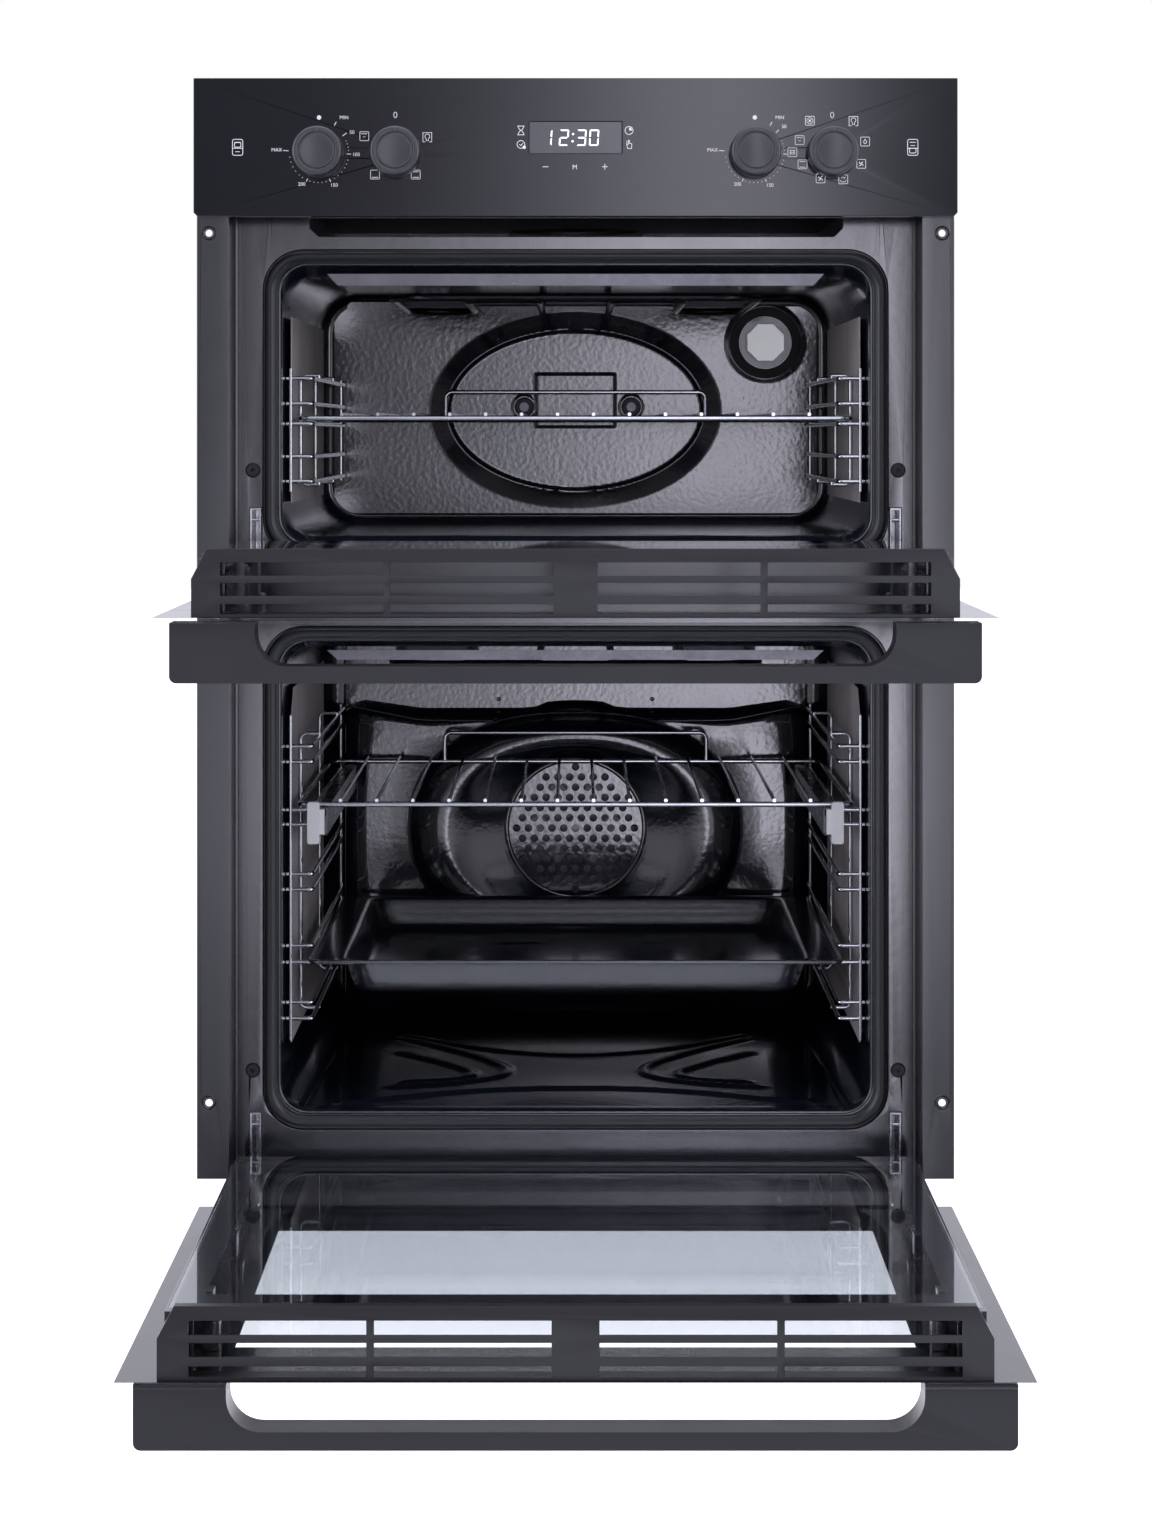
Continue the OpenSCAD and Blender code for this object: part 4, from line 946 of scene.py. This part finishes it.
def rrect(cx, cz, w, h, r=0.8, n=4):
    out = []
    for q, (sx, sz) in enumerate(((1, 1), (-1, 1), (-1, -1), (1, -1))):
        for i in range(n + 1):
            a = math.radians(90 * q + 90 * i / n)
            out.append((cx + sx * (w / 2 - r) + r * math.cos(a), cz + sz * (h / 2 - r) + r * math.sin(a)))
    return out


marks = []
digits = []
# compartment symbols: two stacked boxes, one filled in
for px, low in ((237.6, False), (912.7, True)):
    x, z = to_xz(px, 147.2)
    marks.append(stroke(rrect(x, z, 8.0, 12.4, 1.4), 0.5, True))
    marks.append(stroke([(x - 2.4, z + 3.9), (x + 2.4, z + 3.9)], 0.5))
    marks.append(stroke(rrect(x, z + 1.9 if not low else z - 2.6, 5.0, 3.6, 0.9), 0.5, True))
    marks.append(stroke([(x - 3.7, z - 0.7), (x + 3.7, z - 0.7)], 0.5))
    if low:
        marks.append(stroke([(x - 1.8, z + 1.4), (x + 1.8, z + 1.4)], 0.4))
    else:
        marks.append(stroke([(x - 1.8, z - 3.4), (x + 1.8, z - 3.4)], 0.4))


def polar(cx, ang, r):
    """Clock angle in degrees from the top, clockwise."""
    a = math.radians(ang)
    return cx + r * math.sin(a), KNOB_Z + r * math.cos(a)


for k in (0, 2):
    cx = KNOB_X[k]
    x, z = polar(cx, 0, 27.6)
    marks.append(disc_part(x, z, 1.7))
    lab = [("MIN", 36, 33.0, 3.9, 29, 24.4, 27.6), ("50", 58, 30.2, 3.9, 54, 22.6, 26.4), ("100", 92.5, 28.8, 3.9, 92, 21.6, 24.8),
           ("150", 155, 27.6, 3.9, 158, 21.8, 24.2), ("200", 209, 27.8, 3.9, 204, 21.8, 24.2), ("MAX", 274, 33.0, 3.9, 274, 23.8, 28.0)]
    if k == 2:
        lab[1] = ("50", 48, 30.6, 3.9, 46, 22.8, 26.0)
        lab[2] = (None, 92.5, 0, 0, 92, 22.0, 25.0)
    for s, a, r, size, ta, r0, r1 in lab:
        if s:
            x, z = polar(cx, a, r)
            if s == "MIN":
                z += 0.8
            marks.append(text_part(s, x, z, size))
        marks.append(stroke([polar(cx, ta, r0), polar(cx, ta, r1)], 0.55))
    for a in (66, 72, 79, 85, 104, 112, 120, 130, 140, 149, 166, 174, 182, 190, 198, 214, 222, 232, 242, 252, 262):
        x, z = polar(cx, a, 23.0)
        marks.append(disc_part(x, z, 0.32, n=10))


def icon(x, z, kind):
    s = 3.45
    parts = [stroke(rrect(x, z, 2 * s, 2 * s, 0.7), 0.42, True)]
    if kind == "top":
        parts.append(stroke([(x - 2.2, z + 2.2), (x - 1.1, z + 1.7), (x, z + 2.2), (x + 1.1, z + 1.7), (x + 2.2, z + 2.2)], 0.4))
        parts.append(stroke([(x - 1.0, z - 0.4), (x + 1.0, z - 0.4)], 0.3))
    elif kind == "bottom":
        parts.append(stroke([(x - 2.3, z - 2.2), (x + 2.3, z - 2.2)], 0.55))
    elif kind == "both":
        parts.append(stroke([(x - 2.3, z - 2.2), (x + 2.3, z - 2.2)], 0.5))
        parts.append(stroke([(x - 2.3, z + 2.2), (x + 2.3, z + 2.2)], 0.5))
    elif kind == "bulb":
        parts = [stroke([(x - 1.5, z - 3.6), (x - 3.4, z - 3.6), (x - 3.4, z + 3.6), (x + 3.4, z + 3.6), (x + 3.4, z - 3.6), (x + 1.5, z - 3.6)], 0.42)]
        parts.append(stroke([(x + 1.9 * math.cos(math.radians(a)), z + 0.7 + 1.9 * math.sin(math.radians(a))) for a in range(-60, 241, 30)], 0.42))
        parts.append(stroke([(x - 0.95, z - 0.95), (x - 0.8, z - 2.6), (x + 0.8, z - 2.6), (x + 0.95, z - 0.95)], 0.42))
    elif kind == "fan":
        for a in range(4):
            b = math.radians(45 + 90 * a)
            parts.append(stroke([(x, z), (x + 1.2 * math.cos(b + 0.4), z + 1.2 * math.sin(b + 0.4)), (x + 2.1 * math.cos(b), z + 2.1 * math.sin(b))], 0.6))
    elif kind == "fanring":
        for a in range(4):
            b = math.radians(45 + 90 * a)
            parts.append(stroke([(x, z), (x + 1.5 * math.cos(b), z + 1.5 * math.sin(b))], 0.6))
        parts.append(stroke([(x + 2.4 * math.cos(math.radians(a)), z + 2.4 * math.sin(math.radians(a))) for a in range(0, 360, 30)], 0.4, True))
    elif kind == "defrost":
        parts.append(stroke([(x, z + 1.8), (x + 1.2, z - 0.2), (x + 0.8, z - 1.4), (x, z - 1.8), (x - 0.8, z - 1.4), (x - 1.2, z - 0.2)], 0.45, True))
    elif kind == "grid":
        for q in (-1.3, 0, 1.3):
            parts.append(stroke([(x - 2.3, z + q), (x + 2.3, z + q)], 0.35))
        for q in (-1.2, 1.2):
            parts.append(stroke([(x + q, z - 2.0), (x + q, z + 2.0)], 0.35))
    elif kind == "tray":
        parts.append(stroke([(x - 2.2, z - 0.6), (x - 1.6, z - 2.0), (x + 1.6, z - 2.0), (x + 2.2, z - 0.6)], 0.4))
        parts.append(stroke([(x - 1.8, z + 1.0), (x - 0.6, z + 1.9), (x + 0.6, z + 0.9), (x + 1.8, z + 1.8)], 0.4))
    return parts


for px, py, kind in ((364.3, 136.1, "top"), (427.3, 137.1, "bulb"), (375.0, 174.4, "bottom"), (415.7, 174.4, "both"),
                     (809.8, 120.6, "fanring"), (853.4, 121.0, "bulb"), (865.0, 141.4, "defrost"), (861.2, 163.7, "fan"),
                     (843.2, 179.2, "tray"), (820.5, 178.3, "fan"), (802.5, 164.2, "both"), (792.3, 152.1, "grid"),
                     (799.6, 140.0, "top")):
    x, z = to_xz(px, py)
    marks += icon(x, z, kind)
for px in (395.3, 832.1):
    x, z = to_xz(px, 114.8)
    marks.append(stroke([(x + 1.25 * math.cos(a), z + 2.15 * math.sin(a)) for a in [2 * math.pi * i / 18 for i in range(18)]], 0.45, True))
# symbols beside the clock
x, z = to_xz(520.9, 130.3)
marks.append(stroke([(x - 2.4, z + 3.4), (x + 2.4, z + 3.4), (x + 1.7, z + 1.6), (x + 0.3, z), (x + 1.7, z - 1.6), (x + 2.4, z - 3.4),
                     (x - 2.4, z - 3.4), (x - 1.7, z - 1.6), (x - 0.3, z), (x - 1.7, z + 1.6)], 0.5, True))
x, z = to_xz(520.9, 144.3)
marks.append(stroke([(x + 3.0 * math.cos(a), z + 3.0 * math.sin(a)) for a in [2 * math.pi * i / 24 for i in range(24)]], 0.5, True))
marks.append(stroke([(x - 1.3, z + 0.2), (x, z - 0.9), (x + 1.6, z + 1.0)], 0.5))
marks.append(disc_part(x + 2.6, z - 2.2, 1.3))
x, z = to_xz(629.0, 130.3)
marks.append(stroke([(x + 3.1 * math.cos(a), z + 3.1 * math.sin(a)) for a in [2 * math.pi * i / 24 for i in range(24)]], 0.5, True))
wedge = [(x, z)] + [(x + 2.4 * math.cos(math.radians(a)), z + 2.4 * math.sin(math.radians(a))) for a in range(0, 91, 15)]
marks.append(plate_with_holes(wedge, [], FRONT_Y - 0.075, FRONT_Y - 0.025))
x, z = to_xz(629.0, 144.3)
marks.append(stroke([(x - 1.9, z + 0.6), (x - 1.0, z - 3.2), (x + 1.9, z - 3.2), (x + 2.2, z + 0.4), (x + 1.2, z + 0.8), (x + 0.3, z + 0.9),
                     (x + 0.3, z + 3.2), (x - 0.5, z + 3.2), (x - 0.6, z)], 0.5, True))
marks.append(stroke([(x - 1.6, z + 1.6), (x - 1.9, z + 3.0)], 0.4))
# touch marks under the clock
x, z = to_xz(545.6, 166.6)
marks.append(stroke([(x - 2.2, z), (x + 2.2, z)], 0.5))
x, z = to_xz(604.8, 166.6)
marks.append(stroke([(x - 2.2, z), (x + 2.2, z)], 0.5))
marks.append(stroke([(x, z - 2.2), (x, z + 2.2)], 0.5))
x, z = to_xz(574.7, 167.1)
marks.append(text_part("M", x, z, 5.0))
make("fascia_marks", *merge(marks), "mark_white", "housing", "control_fascia" if False else "black_glass", smooth=False)

# clock digits, seven bars each, leaning slightly
DY = FRONT_Y + 0.12


def seg_digit(ch, x, z, w=7.4, h=12.6, t=1.15):
    on = {"0": "abcdef", "1": "bc", "2": "abged", "3": "abgcd"}[ch]
    lean = 0.06
    g = 0.35
    W, H = w / 2, h / 2
    P_ = {
        "a": [(-W + g, H), (W - g, H), (W - g - t, H - t), (-W + g + t, H - t)],
        "d": [(-W + g, -H), (W - g, -H), (W - g - t, -H + t), (-W + g + t, -H + t)],
        "g": [(-W + g + 0.5, 0), (-W + g + t, t / 2), (W - g - t, t / 2), (W - g - 0.5, 0), (W - g - t, -t / 2), (-W + g + t, -t / 2)],
        "b": [(W, H - g), (W, g), (W - t, g + t * 0.5), (W - t, H - g - t)],
        "c": [(W, -H + g), (W, -g), (W - t, -g - t * 0.5), (W - t, -H + g + t)],
        "f": [(-W, H - g), (-W, g), (-W + t, g + t * 0.5), (-W + t, H - g - t)],
        "e": [(-W, -H + g), (-W, -g), (-W + t, -g - t * 0.5), (-W + t, -H + g + t)],
    }
    out = []
    for s in on:
        loop = [(x + a + lean * b, z + b) for a, b in P_[s]]
        out.append(plate_with_holes(loop, [], DY - 0.03, DY + 0.03))
    return out


zc = 841.6
for ch, x in (("1", -22.0), ("2", -9.0), ("3", 4.6), ("0", 14.4)):
    digits += seg_digit(ch, x, zc)
digits.append(disc_part(-1.9, zc + 2.8, 0.85, y=DY, t=0.06))
digits.append(disc_part(-2.3, zc - 2.8, 0.85, y=DY, t=0.06))
make("clock_digits", *merge(digits), "digit_white", "housing", "display", smooth=False)

# ------------------------------------------------------------------ door prints


def door_plate(d, outline, holes, w0, w1):
    """A plate lying in the door: outline in x and v (up the door), between w0 and w1 in from the glass face."""
    v, f = plate_with_holes(outline, holes, w0, w1)
    return [(x, BACK_EDGE - z, DOOR_Z[d] + y) for x, y, z in v], f


def rect(x0, x1, z0, z1):
    return [(x0, z0), (x1, z0), (x1, z1), (x0, z1)]


for d, nm, body in ((0, "lower", "lower_door"), (1, "upper", "upper_door")):
    L = DOOR_L[d]
    v, f = door_plate(d, rect(-296, 296, 1, L - 1), [rect(-226.5, 226.5, 79, L - 81)], 4.02, 4.16)
    make(nm + "_glass_print", v, f, "print_black", body, "black_glass", smooth=False)
    v, f = door_plate(d, rect(-261.5, 261.5, 26.5, L - 13.5), [rect(-244, 244, 40, L - 60)], 44.86, 44.98)
    make(nm + "_inner_print", v, f, "print_black", body, "black_glass", smooth=False)
    set_mat(NODES[nm + "_outer_glass"], "pane_glass")
    set_mat(NODES[nm + "_inner_glass"], "pane_glass")
set_mat(NODES["lower_middle_glass"], "pane_glass")
set_mat(NODES["lamp_housing"], "lamp_black")
for n in ("upper_cap", "lower_cap"):
    set_mat(NODES[n], "cap_black")
set_mat(NODES["case_screws"], "screw_zinc")

# ------------------------------------------------------------------ stage, light, camera
FLOOR_Z = (0.0 - 760.0 - OZ) / 1000


def stage_floor():
    me = bpy.data.meshes.new("studio_floor")
    me.from_pydata([(-16, -2.4, FLOOR_Z), (16, -2.4, FLOOR_Z), (16, 26, FLOOR_Z), (-16, 26, FLOOR_Z)], [], [(0, 1, 2, 3)])
    o = bpy.data.objects.new("studio_floor", me)
    bpy.context.scene.collection.objects.link(o)
    m, nt, out = nt_new("studio_floor")
    p = nt.nodes.new("ShaderNodeBsdfPrincipled")
    c = ramp(nt, noise(nt, coords(nt), 3.0, 2.0), [(0.3, (0.84, 0.84, 0.85)), (0.7, (0.88, 0.88, 0.885))])
    nt.links.new(c, p.inputs["Base Color"])
    nt.links.new(c, p.inputs["Emission Color"])
    # the floor is lit from below behind the oven, and falls off towards the front
    nt.links.new(remap(nt, axis_of(nt, 1), 0.2, 1.6, 0.0, 0.85), p.inputs["Emission Strength"])
    p.inputs["Roughness"].default_value = 0.9
    nt.links.new(p.outputs[0], out.inputs["Surface"])
    me.materials.append(m)


stage_floor()


def studio_world():
    """A white backdrop, and round it the soft boxes of a studio, by direction."""
    w = bpy.data.worlds.new("studio")
    bpy.context.scene.world = w
    w.use_nodes = True
    nt = w.node_tree
    nt.nodes.clear()
    out = nt.nodes.new("ShaderNodeOutputWorld")
    tc = nt.nodes.new("ShaderNodeTexCoord")
    sp = nt.nodes.new("ShaderNodeSeparateXYZ")
    nt.links.new(tc.outputs["Generated"], sp.inputs[0])
    x, y, z = sp.outputs
    f = mul(nt, mul(nt, y, -1.0), 0.03, "MAXIMUM")
    sx = mul(nt, x, f, "DIVIDE")
    sz = mul(nt, z, f, "DIVIDE")
    ahead = remap(nt, mul(nt, y, -1.0), 0.0, 0.1, 0.0, 1.0)

    def curve(value, lo, hi, stops):
        n = nt.nodes.new("ShaderNodeValToRGB")
        n.color_ramp.interpolation = "LINEAR"
        e = n.color_ramp.elements
        while len(e) < len(stops):
            e.new(0.5)
        for k, (q, v) in zip(e, stops):
            k.position = (q - lo) / (hi - lo)
            k.color = (v, v, v, 1)
        nt.links.new(remap(nt, value, lo, hi, 0.0, 1.0), n.inputs["Fac"])
        return n.outputs["Color"]

    sxv = curve(sx, -0.5, 0.5, SX_STOPS)
    szv = curve(sz, -0.5, 0.5, SZ_STOPS)
    wide = mul(nt, mul(nt, curve(sz, -0.5, 0.5, WZ_STOPS), remap(nt, mul(nt, sx, 0.0, "ABSOLUTE"), 0.2, 0.5, 1.0, 0.0)),
               WIDE / STRIP)
    strip = mul(nt, mul(nt, mul(nt, mul(nt, sxv, szv), wide, "ADD"), ahead), STRIP)
    # ambient: dim straight ahead, fuller to the sides, above and behind
    amb = curve(mul(nt, y, -1.0), -1.0, 1.0, AMB_STOPS)
    up = curve(z, -1.0, 1.0, UP_STOPS)
    side = mul(nt, remap(nt, mul(nt, mul(nt, x, 0.0, "ABSOLUTE"), 1.0), 0.80, 0.93, 0.0, 1.0),
               remap(nt, mul(nt, z, 0.0, "ABSOLUTE"), 0.25, 0.45, 1.0, 0.0))
    top = remap(nt, z, 0.72, 0.86, 0.0, 1.0)
    total = mul(nt, mul(nt, amb, up), mul(nt, mul(nt, side, SIDE), mul(nt, top, TOP), "ADD"), "ADD")
    cool = nt.nodes.new("ShaderNodeBackground")
    cool.inputs["Color"].default_value = (0.96, 0.965, 1.09, 1)
    nt.links.new(total, cool.inputs["Strength"])
    violet = nt.nodes.new("ShaderNodeBackground")
    violet.inputs["Color"].default_value = (1.0, 0.985, 1.16, 1)
    nt.links.new(strip, violet.inputs["Strength"])
    add = nt.nodes.new("ShaderNodeAddShader")
    nt.links.new(cool.outputs[0], add.inputs[0])
    nt.links.new(violet.outputs[0], add.inputs[1])
    white = nt.nodes.new("ShaderNodeBackground")
    white.inputs["Color"].default_value = (1, 1, 1, 1)
    lp = nt.nodes.new("ShaderNodeLightPath")
    mx = nt.nodes.new("ShaderNodeMixShader")
    nt.links.new(lp.outputs["Is Camera Ray"], mx.inputs[0])
    nt.links.new(add.outputs[0], mx.inputs[1])
    nt.links.new(white.outputs[0], mx.inputs[2])
    nt.links.new(mx.outputs[0], out.inputs["Surface"])


SX_STOPS = [(-0.10, 0.0), (-0.054, 0.06), (-0.03, 0.19), (-0.005, 0.40), (0.010, 0.62), (0.030, 0.86), (0.046, 1.0),
            (0.060, 1.0), (0.072, 0.74), (0.087, 0.36), (0.100, 0.12), (0.12, 0.0)]
SZ_STOPS = [(-0.205, 0.0), (-0.185, 0.18), (-0.163, 0.50), (-0.144, 0.85), (-0.12, 1.0), (0.2, 1.0), (0.45, 0.3)]
WZ_STOPS = [(-0.20, 0.0), (-0.163, 0.26), (-0.144, 0.6), (-0.118, 1.0), (-0.096, 1.0), (-0.08, 0.75), (-0.06, 0.32),
            (-0.03, 0.0)]
AMB_STOPS = [(-1.0, 1.0), (0.0, 1.0), (0.45, 1.0), (0.75, 0.62), (0.9, 0.40), (0.97, 0.24), (1.0, 0.21)]
UP_STOPS = [(-1.0, 0.32), (-0.22, 0.36), (-0.15, 0.75), (-0.03, 1.0), (1.0, 1.0)]
STRIP, WIDE, SIDE, TOP = 2.8, 0.70, 0.25, 0.5
studio_world()


def area(name, loc, target, sx, sy, power, col=(1, 1, 1)):
    L = bpy.data.lights.new(name, "AREA")
    L.shape = "RECTANGLE"
    L.size, L.size_y = sx, sy
    L.energy = power
    L.color = col
    o = bpy.data.objects.new(name, L)
    o.location = loc
    o.rotation_euler = (Vector(target) - Vector(loc)).to_track_quat("-Z", "Y").to_euler()
    bpy.context.scene.collection.objects.link(o)
    return o


area("softbox_left", (-2.2, -1.6, 0.5), (0, 0.2, 0.0), 0.5, 1.8, 10, (0.93, 0.96, 1.0))
area("softbox_right", (2.2, -1.8, 0.6), (0, 0.2, 0.0), 0.5, 1.8, 10, (0.93, 0.96, 1.0))

cam = bpy.data.cameras.new("camera")
cam.lens = 75.86
cam.sensor_width = 36.0
cam.sensor_height = 36.0
cam.sensor_fit = "AUTO"
cam.shift_x = 0.0003
cam.shift_y = -0.218
cam.clip_end = 60
co = bpy.data.objects.new("camera", cam)
co.location = (0, -2.525, 0.18325)
co.rotation_euler = (math.radians(90), 0, 0)
bpy.context.scene.collection.objects.link(co)
bpy.context.scene.camera = co
bpy.context.scene.view_settings.view_transform = "Standard"
bpy.context.scene.view_settings.look = "None"
